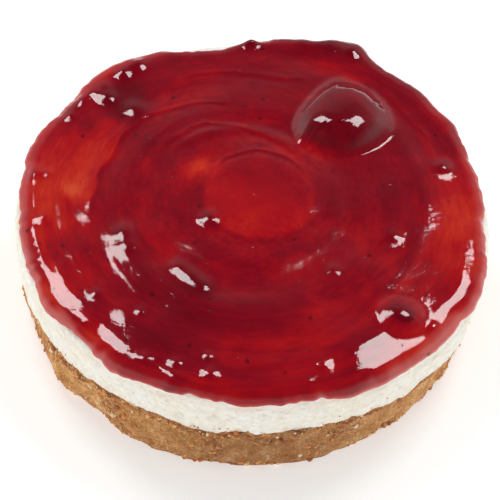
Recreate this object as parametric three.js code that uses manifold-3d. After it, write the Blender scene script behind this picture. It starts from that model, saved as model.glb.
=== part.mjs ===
// A whole round cheesecake: a pressed biscuit-crumb base, a pale cream-cheese layer and a
// glossy strawberry topping that was swirled on with a palette knife and runs over the edge.
// Millimetres, +Z up. The origin is the middle of the flat underside.
import * as THREE from "three";
import { mergeVertices } from "three/addons/utils/BufferGeometryUtils.js";
import Module from "manifold-3d";

const wasm = await Module();
wasm.setup();

// Driving sizes.
const cakeRadius = 84;
const crustHeight = 20.5;
const creamTop = 38;
const jamDepth = 3.4;
const gap = 0.3;
const segments = 108;

// The crumb base: its wall leans out a little from the foot to the top, which is ragged and
// dips where the cream was smeared over it. Each dip is [degrees, half width in degrees, drop].
const crustFootRadius = 82.9;
const crustTopRadius = 83.5;
const levelRadius = 0.9 * crustTopRadius;
const crustRows = 8;
const crumbLump = { size: 9, depth: 0.9 };
const crumbGrain = { size: 4, depth: 0.5 };
const edgeWave = { length: 13, height: 0.9, fineShare: 0.3 };
const worn = { foot: 0.8, footShare: 0.16, top: 0.5, topShare: 0.9 };
const edgeGap = 0.7;
const edgeDips = [
  [200, 12, 5.5],
  [229, 8, 2.5],
  [313, 9, 2],
  [334, 13, 5.5],
];

// Places where the base was pressed out of its round: a knob at the front left and the front.
const pressedOut = [
  { degrees: 223, width: 6, height: 7, tall: 7, reach: 2.8 },
  { degrees: 259, width: 26, height: 0, tall: 14, reach: 1.3 },
  { degrees: 253, width: 14, height: 3, tall: 12, reach: 1 },
  { degrees: 243, width: 6, height: 3, tall: 12, reach: 0.9 },
  { degrees: 288, width: 9, height: 3, tall: 12, reach: 1.2 },
];

// The cream layer: a soft wall that swells slightly, with a rounded top corner.
const creamFootRadius = 83.2;
const creamSwell = 0.5;
const creamCorner = 2.6;
const creamWobble = 0.45;
const creamWobbleLength = 26;
const creamPushed = [
  { degrees: 331, width: 12, reach: 1.3 },
  { degrees: 66.5, width: 6.5, reach: 5.2 },
];

// The topping's rim: how far the film reaches past the start of the cream's rounded corner,
// measured along the surface it lies on. Each lobe is [degrees, half width in degrees, reach in mm].
const rimReach = 1.2;
const rimRound = 5.2;
const rimLip = 0.25;
const rimBack = 2;
const lobes = [
  [30, 5, 2.2],
  [46, 9, 3.2],
  [69, 9, 5.4],
  [84, 5, 2.6],
  [105, 9, -3.8],
  [120, 4, 1],
  [134, 9, 4.2],
  [166, 8, 1.8],
  [187, 5, -0.8],
  [218, 6, 1.3],
  [241, 7, 2.3],
  [253, 6, 1.4],
  [273, 10, 2.1],
  [297, 10, 2.8],
  [315, 9, 2.8],
  [333, 7, 2.6],
  [343, 5, 1],
  [356, 8, -0.9],
];

// The palette knife's strokes: arcs round [x, y], with a radius and half width in mm and a height
// that is negative in a trough. Each fades in and out at its two angles, in degrees.
const strokes = [
  { centre: [0, 0], radius: 80, width: 6, height: 0.8, from: 15, to: 105 },
  { centre: [0, 0], radius: 79, width: 6, height: 0.6, from: 105, to: 170 },
  { centre: [0, -3], radius: 36, width: 7, height: -0.75, from: 200, to: 480 },
  { centre: [-4, 0], radius: 33, width: 5, height: -0.35, from: 120, to: 220 },
  { centre: [-5, 1], radius: 31, width: 2.4, height: 0.4, from: 35, to: 150 },
  { centre: [-4, -3], radius: 46, width: 4, height: 0.28, from: 190, to: 300 },
  { centre: [-3, 0], radius: 54, width: 3, height: 0.35, from: 110, to: 205 },
  { centre: [2, 4], radius: 55, width: 7, height: -0.45, from: 90, to: 200 },
  { centre: [0, 0], radius: 60, width: 5, height: 0.35, from: 335, to: 430 },
  { centre: [0, -2], radius: 62, width: 6, height: -0.4, from: 215, to: 300 },
];
const strokeFade = 28;
const cap = { centre: [2, 0], radius: 20, height: 0.45, inside: 5, outside: 3 };
const unevenness = { length: 15, height: 0.35 };

// Where the topping slopes down towards its rim: the depth at the rim, the slope outward and round
// the cake, and how far in from the rim the slope ends and starts.
const shoulders = [
  { degrees: 307, width: 12, low: 2.6, outward: 0.1, around: 0.05, near: 2, far: 11 },
  { degrees: 331, width: 11, low: 2.7, outward: 0.12, around: -0.03, near: 1.5, far: 7 },
  { degrees: 218, width: 6, low: 2.6, outward: 0.11, around: 0, near: 2.5, far: 8.5 },
  { degrees: 236, width: 6, low: 2.7, outward: 0.11, around: -0.04, near: 3, far: 7.5 },
];
const shoulderBlend = 7;
const shoulderRadius = 80;

// Bits of fruit under the topping: [x, y, half width, height].
const fruitLumps = [
  [-5, 79, 2.9, 2.6],
  [35, 77, 4, 1.6],
  [26, 80, 5, 1.2],
  [16, 81, 5, 1.2],
  [-57, 44, 3.5, 1.2],
  [-46, 39, 4.2, 1],
  [-15, -12, 3.5, 0.9],
  [-43.5, -20, 3.8, 0.9],
  [-41.5, -26, 3.8, 0.7],
  [-23.6, -33.5, 3.4, 0.8],
  [-19.6, -37, 3.4, 0.8],
  [-15.6, -40.5, 3.4, 0.7],
  [-40, -53, 4.2, 0.6],
  [67.5, 18.5, 3.2, 1.2],
  [49, -15, 3.2, 0.5],
  [28, -31, 2.6, 0.5],
  [-22, -80, 3.9, 1.2],
];

// Two pieces of strawberry stand out of the topping.
const largePiece = {
  name: "strawberry_piece_large",
  at: [31.5, 38, creamTop + 4.2],
  half: [13.4, 12.2, 6.2],
  floor: -3,
  turn: 0,
  bulges: [
    { toward: [-1, -0.25, 0.25], grow: 0.24, spread: 0.45 },
    { toward: [0.1, 1, 0.25], grow: 0.42, spread: 0.7 },
    { toward: [1, 0.05, 0.3], grow: 0.14, spread: 0.4 },
    { toward: [0.1, -1, 0.3], grow: 0.1, spread: 0.35 },
    { toward: [-0.3, 0.4, 0.9], grow: -0.1, spread: 0.35 },
  ],
  detail: 5,
};
const smallPiece = {
  name: "strawberry_piece_small",
  at: [50.6, -48.6, creamTop + 3.4],
  half: [5, 4, 2.9],
  floor: -2,
  turn: -30,
  bulges: [
    { toward: [-1, 0.2, 0.3], grow: 0.22, spread: 0.6 },
    { toward: [0.7, -0.6, 0.2], grow: 0.14, spread: 0.5 },
  ],
  detail: 3,
};
const pieces = [largePiece, smallPiece];
const pieceSkin = { size: 0.4, depth: 0.035 };
const skirt = { spread: 2, height: 1.3 };

const wrap = (degrees) => ((((degrees + 180) % 360) + 360) % 360) - 180;
const degreesFrom = (angle, degrees) => wrap(THREE.MathUtils.radToDeg(angle) - degrees);
const smooth = (low, high, value) => THREE.MathUtils.smoothstep(value, low, high);
const bell = (distance, width) => Math.exp(-((distance / width) ** 2));

// Repeatable lumps from -1 to 1: random values on a cubic lattice, smoothly joined.
function latticeValue(i, j, k) {
  const wave = Math.sin(i * 127.1 + j * 311.7 + k * 74.7) * 43758.5453;
  return 2 * (wave - Math.floor(wave)) - 1;
}

function lump(x, y, z, size) {
  const at = [x / size, y / size, z / size];
  const cell = at.map(Math.floor);
  const share = at.map((value, n) => THREE.MathUtils.smoothstep(value - cell[n], 0, 1));
  let sum = 0;
  for (let corner = 0; corner < 8; corner++) {
    const step = [corner & 1, (corner >> 1) & 1, corner >> 2];
    const weight = step.reduce((product, one, n) => product * (one ? share[n] : 1 - share[n]), 1);
    sum += weight * latticeValue(cell[0] + step[0], cell[1] + step[1], cell[2] + step[2]);
  }
  return sum;
}

// A closed turned body whose profile may change with the angle. profileAt(angle, n) gives the
// radius and height of point n. The first and last points lie on the axis.
function turnedBody(pointCount, profileAt) {
  const blank = [];
  for (let n = 0; n < pointCount; n++) blank.push(new THREE.Vector2(n, n));
  const geometry = new THREE.LatheGeometry(blank, segments);
  const position = geometry.getAttribute("position");
  for (let i = 0; i <= segments; i++) {
    const angle = ((i % segments) / segments) * 2 * Math.PI;
    for (let n = 0; n < pointCount; n++) {
      const [radius, height] = profileAt(angle, n);
      position.setXYZ(i * pointCount + n, radius * Math.cos(angle), radius * Math.sin(angle), height);
    }
  }
  geometry.deleteAttribute("normal");
  geometry.deleteAttribute("uv");
  return geometry;
}

// How high the crumb base stands at its ragged edge, where the cream starts.
function crustEdgeHeight(angle) {
  const x = crustTopRadius * Math.cos(angle);
  const y = crustTopRadius * Math.sin(angle);
  const ragged = lump(x, y, 0, edgeWave.length) + edgeWave.fineShare * lump(x, y, 40, edgeWave.length / 2);
  let height = crustHeight + edgeWave.height * ragged;
  for (const [degrees, width, drop] of edgeDips) height -= drop * bell(degreesFrom(angle, degrees), width);
  return height;
}

// The crumb base's wall, with lumps, the places that were pressed out and worn edges.
function crustWall(angle, share) {
  const z = share * crustEdgeHeight(angle);
  const radius = THREE.MathUtils.lerp(crustFootRadius, crustTopRadius, share);
  const x = radius * Math.cos(angle);
  const y = radius * Math.sin(angle);
  const relief =
    crumbLump.depth * lump(x, y, z, crumbLump.size) + crumbGrain.depth * lump(x, y, z, crumbGrain.size);
  let pressed = 0;
  for (const { degrees, width, height, tall, reach } of pressedOut)
    pressed += reach * bell(degreesFrom(angle, degrees), width) * bell(z - height, tall);
  const wornAway =
    worn.foot * (1 - smooth(0, worn.footShare, share)) + worn.top * smooth(worn.topShare, 1, share);
  return [radius + relief + pressed - wornAway, z];
}

function makeCrust() {
  const underside = [0, 0.6 * cakeRadius];
  const top = [levelRadius, 0];
  const count = underside.length + crustRows + 1 + top.length;
  return turnedBody(count, (angle, n) => {
    if (n < underside.length) return [underside[n], 0];
    const row = n - underside.length;
    if (row <= crustRows) return crustWall(angle, row / crustRows);
    return [top[row - crustRows - 1], crustHeight];
  });
}

// The crumb base's upper side is level out to levelRadius and then slopes to its ragged edge.
function crustTopAt(radius, angle) {
  const [edgeRadius, edgeHeight] = crustWall(angle, 1);
  const share = THREE.MathUtils.clamp((radius - levelRadius) / (edgeRadius - levelRadius), 0, 1);
  return THREE.MathUtils.lerp(crustHeight, edgeHeight, share);
}

// The cream's outer surface, followed from the middle of its top outward: flat, round the
// corner, then down the wall. along is the distance in mm; raise lifts the point off the surface.
const cornerLength = (creamCorner * Math.PI) / 2;

function creamRadiusAt(angle, below) {
  const x = cakeRadius * Math.cos(angle);
  const y = cakeRadius * Math.sin(angle);
  const down = THREE.MathUtils.clamp(below / (creamTop - crustHeight), 0, 1);
  const swell = creamSwell * Math.sin(Math.PI * down);
  let radius = cakeRadius - creamSwell + swell + creamWobble * lump(x, y, 90, creamWobbleLength);
  for (const { degrees, width, reach } of creamPushed)
    radius += reach * bell(degreesFrom(angle, degrees), width);
  return radius;
}

function creamSurface(angle, along, raise) {
  const cornerStart = creamRadiusAt(angle, 0) - creamCorner;
  const past = along - cornerStart;
  if (past <= 0) return [along, creamTop + raise];
  if (past <= cornerLength) {
    const turn = past / creamCorner;
    const reach = creamCorner + raise;
    return [cornerStart + reach * Math.sin(turn), creamTop - creamCorner + reach * Math.cos(turn)];
  }
  const below = creamCorner + past - cornerLength;
  return [creamRadiusAt(angle, below) + raise, creamTop - below];
}

function makeCream() {
  const bottomRows = 3;
  const wallRows = 3;
  const cornerRows = 4;
  const count = bottomRows + wallRows + cornerRows + 2;
  return turnedBody(count, (angle, n) => {
    const overCrust = Math.min(crustWall(angle, 1)[0], creamFootRadius - gap);
    if (n === 0 || n === 1) return [n * levelRadius, crustHeight + edgeGap];
    if (n === 2) return [overCrust, crustTopAt(overCrust, angle) + edgeGap];
    const step = n - bottomRows;
    const foot = crustTopAt(creamFootRadius, angle) + edgeGap;
    const cornerTop = creamTop - creamCorner;
    if (step < wallRows) {
      const z = THREE.MathUtils.lerp(foot, cornerTop, step / wallRows);
      const radius = creamRadiusAt(angle, creamTop - z);
      return [step === 0 ? Math.min(radius, creamFootRadius) : radius, z];
    }
    if (step <= wallRows + cornerRows) {
      const turned = 1 - (step - wallRows) / cornerRows;
      const start = creamRadiusAt(angle, 0) - creamCorner;
      return creamSurface(angle, start + turned * cornerLength, 0);
    }
    return [0, creamTop];
  });
}

// The length of the topping's film along the cream's surface at an angle.
function rimLength(angle) {
  let reach = rimReach;
  for (const [degrees, width, more] of lobes) reach += more * bell(degreesFrom(angle, degrees), width);
  return creamRadiusAt(angle, 0) - creamCorner + reach;
}

function strokeHeight({ centre, radius, width, height, from, to }, x, y) {
  const dx = x - centre[0];
  const dy = y - centre[1];
  const middle = (from + to) / 2;
  const away = Math.abs(wrap(THREE.MathUtils.radToDeg(Math.atan2(dy, dx)) - middle));
  const fade = 1 - smooth((to - from) / 2 - strokeFade, (to - from) / 2, away);
  return height * bell(Math.hypot(dx, dy) - radius, width) * fade;
}

// The topping's depth above the cream, away from its rim.
function jamDepthAt(x, y) {
  let depth = jamDepth + unevenness.height * lump(x, y, 10, unevenness.length);
  for (const stroke of strokes) depth += strokeHeight(stroke, x, y);
  const fromCap = Math.hypot(x - cap.centre[0], y - cap.centre[1]);
  depth += cap.height * (1 - smooth(cap.radius - cap.inside, cap.radius + cap.outside, fromCap));
  for (const [lumpX, lumpY, width, height] of fruitLumps)
    depth += height * bell(Math.hypot(x - lumpX, y - lumpY), width);
  for (const { at, half } of pieces) {
    const reach = (half[0] + half[1]) / 2;
    const beyond = Math.max(0, Math.hypot(x - at[0], y - at[1]) - reach);
    depth += skirt.height * (half[2] / largePiece.half[2]) * bell(beyond, skirt.spread);
  }
  const angle = Math.atan2(y, x);
  const inward = rimLength(angle) - Math.hypot(x, y);
  for (const { degrees, width, low, outward, around, near, far } of shoulders) {
    const off = degreesFrom(angle, degrees);
    const rise = outward * THREE.MathUtils.clamp(inward - near, 0, far - near);
    const ramp = low + rise - around * THREE.MathUtils.degToRad(off) * shoulderRadius;
    const share = Math.exp(-((off / width) ** 4)) * (1 - smooth(far, far + shoulderBlend, inward));
    depth = THREE.MathUtils.lerp(depth, ramp, share);
  }
  return depth;
}

function makeJam() {
  const fineRows = 24;
  const rimRows = 5;
  const cornerRows = 6;
  const topRows = fineRows + rimRows;
  const count = topRows + cornerRows + 1;
  return turnedBody(count, (angle, fromBelow) => {
    const n = count - 1 - fromBelow;
    const length = rimLength(angle);
    const rimStart = length - rimRound;
    if (n === count - 1) return creamSurface(angle, 0, gap);
    if (n >= topRows) {
      const start = Math.min(creamRadiusAt(angle, 0) - creamCorner, length - rimBack);
      const back = (n - topRows) / (cornerRows - 1);
      return creamSurface(angle, THREE.MathUtils.lerp(length - rimLip, start, back), gap);
    }
    const along =
      n < fineRows
        ? (n / fineRows) * rimStart
        : rimStart + rimRound * Math.sin(((n - fineRows) / rimRows) * 0.5 * Math.PI);
    const [radius] = creamSurface(angle, along, 0);
    const depth = jamDepthAt(radius * Math.cos(angle), radius * Math.sin(angle));
    const inward = THREE.MathUtils.clamp((along - rimStart) / rimRound, 0, 1);
    const round = Math.sqrt(Math.max(0, 1 - inward ** 2));
    return creamSurface(angle, along, gap + rimLip + (depth - rimLip) * round);
  });
}

// A lump of strawberry: a ball pushed out and in towards a few directions, cut flat underneath.
// grow makes it that much larger all round, to cut the hollow it sits in.
function makePiece({ at, half, floor, turn, bulges, detail }, grow) {
  const geometry = new THREE.IcosahedronGeometry(1, detail);
  const position = geometry.getAttribute("position");
  const point = new THREE.Vector3();
  for (let n = 0; n < position.count; n++) {
    point.fromBufferAttribute(position, n).normalize();
    let reach = 1;
    for (const bulge of bulges) {
      const angle = point.angleTo(new THREE.Vector3(...bulge.toward));
      reach += bulge.grow * bell(angle, bulge.spread);
    }
    reach += pieceSkin.depth * lump(point.x, point.y, point.z, pieceSkin.size);
    const [x, y, z] = half.map((size, axis) => (size * reach + grow) * point.getComponent(axis));
    position.setXYZ(n, x, y, Math.max(z, floor - grow));
  }
  geometry.deleteAttribute("normal");
  geometry.deleteAttribute("uv");
  geometry.rotateZ(THREE.MathUtils.degToRad(turn));
  geometry.translate(...at);
  return geometry;
}

function toSolid(geometry) {
  const merged = mergeVertices(geometry, 1e-3);
  return new wasm.Manifold(
    new wasm.Mesh({
      numProp: 3,
      vertProperties: new Float32Array(merged.getAttribute("position").array),
      triVerts: new Uint32Array(merged.index.array),
    }),
  );
}

function toGeometry(solid) {
  const mesh = solid.getMesh();
  const geometry = new THREE.BufferGeometry();
  geometry.setAttribute("position", new THREE.BufferAttribute(mesh.vertProperties, 3));
  geometry.setIndex(new THREE.BufferAttribute(mesh.triVerts, 1));
  geometry.computeVertexNormals();
  return geometry;
}

function jamWithHollows() {
  let solid = toSolid(makeJam());
  for (const piece of pieces) solid = solid.subtract(toSolid(makePiece(piece, gap)));
  return toGeometry(solid);
}

const crumb = new THREE.MeshStandardMaterial({ color: "#b07c4c", roughness: 0.9, metalness: 0 });
const cream = new THREE.MeshStandardMaterial({ color: "#f3eedc", roughness: 0.6, metalness: 0 });
const jam = new THREE.MeshStandardMaterial({ color: "#8c1019", roughness: 0.12, metalness: 0 });
const fruit = new THREE.MeshStandardMaterial({ color: "#7c0f18", roughness: 0.15, metalness: 0 });

function named(name, geometry, material) {
  const mesh = new THREE.Mesh(geometry, material);
  mesh.name = name;
  return mesh;
}

const cheesecake = new THREE.Group();
cheesecake.add(named("crumb_base", makeCrust(), crumb));
cheesecake.add(named("cream_layer", makeCream(), cream));
cheesecake.add(named("strawberry_topping", jamWithHollows(), jam));
for (const piece of pieces) cheesecake.add(named(piece.name, makePiece(piece, 0), fruit));

export default cheesecake;
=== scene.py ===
# A whole round cheesecake: crumb base, cream layer, strawberry topping with two lumps of fruit.
# Shapes are worked out in millimetres and turned to metres where a mesh is made.
import math

import bmesh
import bpy
import numpy as np
from mathutils import Matrix, Vector
from mathutils.bvhtree import BVHTree


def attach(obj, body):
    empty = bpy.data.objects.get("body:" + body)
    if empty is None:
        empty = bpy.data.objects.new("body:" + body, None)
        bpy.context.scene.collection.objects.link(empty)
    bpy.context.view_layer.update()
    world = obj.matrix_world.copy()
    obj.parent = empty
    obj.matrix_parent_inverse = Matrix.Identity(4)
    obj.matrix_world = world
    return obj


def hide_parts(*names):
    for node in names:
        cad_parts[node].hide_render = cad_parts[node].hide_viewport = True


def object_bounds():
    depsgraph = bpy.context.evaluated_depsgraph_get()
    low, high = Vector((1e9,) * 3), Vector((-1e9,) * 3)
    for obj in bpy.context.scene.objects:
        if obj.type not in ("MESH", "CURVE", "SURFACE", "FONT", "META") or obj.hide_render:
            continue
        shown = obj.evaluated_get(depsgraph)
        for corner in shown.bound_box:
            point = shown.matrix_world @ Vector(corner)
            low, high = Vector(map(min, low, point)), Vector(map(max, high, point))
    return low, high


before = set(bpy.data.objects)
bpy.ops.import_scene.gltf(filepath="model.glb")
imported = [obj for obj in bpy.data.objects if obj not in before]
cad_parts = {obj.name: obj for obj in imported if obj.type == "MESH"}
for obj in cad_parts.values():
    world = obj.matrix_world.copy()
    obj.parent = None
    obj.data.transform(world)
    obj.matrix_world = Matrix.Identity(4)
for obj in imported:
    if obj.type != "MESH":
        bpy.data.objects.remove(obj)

mm = 0.001
# The circle round the middle, in mm, on which drawn-out noise has its true length.
meanRadius = 60
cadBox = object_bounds()
boxLow, boxHigh = (np.array(corner) / mm for corner in cadBox)


# Colours are written as they are seen on a screen.
def linear(hexColour):
    channels = [int(hexColour[n : n + 2], 16) / 255 for n in (1, 3, 5)]
    return [c / 12.92 if c <= 0.04045 else ((c + 0.055) / 1.055) ** 2.4 for c in channels] + [1]


# Adds one node with its settings, and sets or links its inputs by name or place.
def addNode(tree, kind, sockets=None, **settings):
    node = tree.nodes.new(kind)
    for name, value in settings.items():
        setattr(node, name, value)
    for key, value in (sockets or {}).items():
        if isinstance(value, bpy.types.NodeSocket):
            tree.links.new(value, node.inputs[key])
        else:
            node.inputs[key].default_value = value
    return node


# Shape helpers, the same formulas that shaped the solids.
def bell(distance, width):
    return np.exp(-((distance / width) ** 2))


def smooth(low, high, value):
    share = np.clip((value - low) / (high - low), 0, 1)
    return share * share * (3 - 2 * share)


def wrap(degrees):
    return (degrees + 180) % 360 - 180


def mix(low, high, share):
    return low + (high - low) * share


def latticeValue(i, j, k):
    wave = np.sin(i * 127.1 + j * 311.7 + k * 74.7) * 43758.5453
    return 2 * (wave - np.floor(wave)) - 1


def lump(x, y, z, size):
    places = [np.asarray(value, float) / size for value in (x, y, z)]
    cells = [np.floor(place) for place in places]
    shares = [smooth(0, 1, place - cell) for place, cell in zip(places, cells)]
    total = 0
    for corner in range(8):
        step = [corner & 1, (corner >> 1) & 1, corner >> 2]
        weight = 1
        for one, share in zip(step, shares):
            weight = weight * (share if one else 1 - share)
        total = total + weight * latticeValue(*(cell + one for cell, one in zip(cells, step)))
    return total


# Noise that is drawn out along circles round the middle, as a palette knife leaves it.
def streak(x, y, seed, across, along):
    radius = np.hypot(x, y)
    angle = np.arctan2(y, x)
    drum = meanRadius * across / along
    return lump(drum * np.cos(angle), drum * np.sin(angle), radius + seed, across)


# A closed turned body. Each ring is (radius, height) with one value for each angle.
def turnedMesh(name, rings, attributes=None):
    count = len(rings[0][0])
    angles = np.arange(count) / count * 2 * np.pi
    points = []
    for radius, height in rings:
        points.append(np.stack([radius * np.cos(angles), radius * np.sin(angles), height + 0 * angles], 1))
    body = np.concatenate(points)
    first = np.array([[0, 0, np.mean(rings[0][1])]])
    last = np.array([[0, 0, np.mean(rings[-1][1])]])
    around = np.arange(count)
    nextOne = (around + 1) % count
    faces = []
    for row in range(len(rings) - 1):
        low, high = row * count, (row + 1) * count
        quads = np.stack([low + around, low + nextOne, high + nextOne, high + around], 1)
        faces.extend(quads.tolist())
    bottom, top = len(body), len(body) + 1
    faces.extend([[bottom, b, a] for a, b in zip(around.tolist(), nextOne.tolist())])
    lastRow = (len(rings) - 1) * count
    faces.extend([[top, lastRow + a, lastRow + b] for a, b in zip(around.tolist(), nextOne.tolist())])
    everyPoint = np.clip(np.concatenate([body, first, last]), boxLow, boxHigh)
    return newPiece(name, everyPoint, faces, attributes)


# The rings' values as one row for a turned body, with a value for each of its two poles.
def ringValues(values):
    return {key: np.concatenate([value.ravel(), [0, 0]]) for key, value in values.items()}


def newPiece(name, points, faces, attributes=None):
    mesh = bpy.data.meshes.new(name)
    mesh.from_pydata((points * mm).tolist(), [], faces)
    mesh.update()
    mesh.shade_smooth()
    for key, values in (attributes or {}).items():
        layer = mesh.attributes.new(key, "FLOAT", "POINT")
        layer.data.foreach_set("value", np.asarray(values, np.float32))
    piece = bpy.data.objects.new(name, mesh)
    bpy.context.scene.collection.objects.link(piece)
    return piece


# Runs a node tree on a piece and keeps the result as a plain mesh.
def runTree(piece, tree, name, values, keep=False):
    modifier = piece.modifiers.new(tree.name, "NODES")
    modifier.node_group = tree
    for item in tree.interface.items_tree:
        if item.item_type == "SOCKET" and item.in_out == "INPUT" and item.name in values:
            modifier[item.identifier] = values[item.name]
    graph = bpy.context.evaluated_depsgraph_get()
    mesh = bpy.data.meshes.new_from_object(piece.evaluated_get(graph), depsgraph=graph)
    piece.modifiers.remove(modifier)
    if keep:
        made = bpy.data.objects.new(name, mesh)
        bpy.context.scene.collection.objects.link(made)
    else:
        made = piece
        made.name = name
        made.data = mesh
    mesh.name = name
    return made


# Makes an empty geometry tree with named inputs, given as name: (socket kind, value).
def newTree(name, inputs):
    tree = bpy.data.node_groups.new(name, "GeometryNodeTree")
    tree.interface.new_socket("Geometry", in_out="INPUT", socket_type="NodeSocketGeometry")
    for label, (kind, value) in inputs.items():
        socket = tree.interface.new_socket(label, in_out="INPUT", socket_type=kind)
        if value is not None:
            socket.default_value = value
    tree.interface.new_socket("Geometry", in_out="OUTPUT", socket_type="NodeSocketGeometry")
    return tree, addNode(tree, "NodeGroupInput").outputs


# Holds every point inside the solids' own box, sets the material and ends the tree.
def endTree(tree, geometry, given):
    place = addNode(tree, "GeometryNodeInputPosition").outputs[0]
    above = addNode(tree, "ShaderNodeVectorMath", {0: place, 1: boxLow * mm}, operation="MAXIMUM")
    inside = addNode(tree, "ShaderNodeVectorMath", {0: above.outputs[0], 1: boxHigh * mm},
                     operation="MINIMUM")
    held = addNode(tree, "GeometryNodeSetPosition", {"Geometry": geometry, "Position": inside.outputs[0]})
    solid = addNode(tree, "GeometryNodeRealizeInstances", {0: held.outputs[0]})
    done = addNode(tree, "GeometryNodeSetMaterial",
                   {"Geometry": solid.outputs[0], "Material": given["Material"]})
    addNode(tree, "NodeGroupOutput", {0: done.outputs[0]})


# Relief that stands on a surface: broad lumps, rounded grains and small round pits.
def reliefTree():
    tree, given = newTree("surfaceRelief", {
        "Lump Size": ("NodeSocketFloat", 0.006), "Lump Depth": ("NodeSocketFloat", 0.0005),
        "Grain Size": ("NodeSocketFloat", 0.002), "Grain Depth": ("NodeSocketFloat", 0.0003),
        "Pit Size": ("NodeSocketFloat", 0.002), "Pit Depth": ("NodeSocketFloat", 0.0002),
        "Pit Share": ("NodeSocketFloat", 0.3), "Shift": ("NodeSocketVector", (0, 0, 0)),
        "Material": ("NodeSocketMaterial", None),
    })
    place = addNode(tree, "GeometryNodeInputPosition").outputs[0]
    moved = addNode(tree, "ShaderNodeVectorMath", {0: place, 1: given["Shift"]}, operation="ADD").outputs[0]
    amount = addNode(tree, "GeometryNodeInputNamedAttribute", {"Name": "roughShare"}, data_type="FLOAT")
    lumpScale, grainScale, pitScale = (addNode(tree, "ShaderNodeMath", {0: 1.0, 1: given[size]},
                                               operation="DIVIDE").outputs[0]
                                       for size in ("Lump Size", "Grain Size", "Pit Size"))
    broad = addNode(tree, "ShaderNodeTexNoise", {"Vector": moved, "Scale": lumpScale, "Detail": 2.0})
    broadUp = addNode(tree, "ShaderNodeMath", {0: broad.outputs[0], 1: 0.5}, operation="SUBTRACT")
    broadDeep = addNode(tree, "ShaderNodeMath", {0: broadUp.outputs[0], 1: given["Lump Depth"]},
                        operation="MULTIPLY")
    grain = addNode(tree, "ShaderNodeTexVoronoi", {"Vector": moved, "Scale": grainScale,
                                                   "Smoothness": 0.35}, feature="SMOOTH_F1")
    grainUp = addNode(tree, "ShaderNodeMath", {0: 0.45, 1: grain.outputs[0]}, operation="SUBTRACT")
    grainDeep = addNode(tree, "ShaderNodeMath", {0: grainUp.outputs[0], 1: given["Grain Depth"]},
                        operation="MULTIPLY")
    pit = addNode(tree, "ShaderNodeTexVoronoi", {"Vector": moved, "Scale": pitScale})
    pitPick = addNode(tree, "ShaderNodeSeparateXYZ", {0: pit.outputs["Color"]})
    chosen = addNode(tree, "ShaderNodeMath", {0: pitPick.outputs[0], 1: given["Pit Share"]},
                     operation="LESS_THAN")
    pitShape = addNode(tree, "ShaderNodeMapRange", {"Value": pit.outputs[0], "From Min": 0.12,
                                                    "From Max": 0.42, "To Min": -1.0, "To Max": 0.0},
                       interpolation_type="SMOOTHSTEP")
    pitHere = addNode(tree, "ShaderNodeMath", {0: pitShape.outputs[0], 1: chosen.outputs[0]},
                      operation="MULTIPLY")
    pitDeep = addNode(tree, "ShaderNodeMath", {0: pitHere.outputs[0], 1: given["Pit Depth"]},
                      operation="MULTIPLY")
    two = addNode(tree, "ShaderNodeMath", {0: broadDeep.outputs[0], 1: grainDeep.outputs[0]},
                  operation="ADD")
    three = addNode(tree, "ShaderNodeMath", {0: two.outputs[0], 1: pitDeep.outputs[0]}, operation="ADD")
    height = addNode(tree, "ShaderNodeMath", {0: three.outputs[0], 1: amount.outputs[0]},
                     operation="MULTIPLY")
    normal = addNode(tree, "GeometryNodeInputNormal").outputs[0]
    offset = addNode(tree, "ShaderNodeVectorMath", {0: normal, 3: height.outputs[0]}, operation="SCALE")
    shaped = addNode(tree, "GeometryNodeSetPosition",
                     {"Geometry": given["Geometry"], "Offset": offset.outputs[0]})
    endTree(tree, shaped.outputs[0], given)
    return tree


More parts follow.
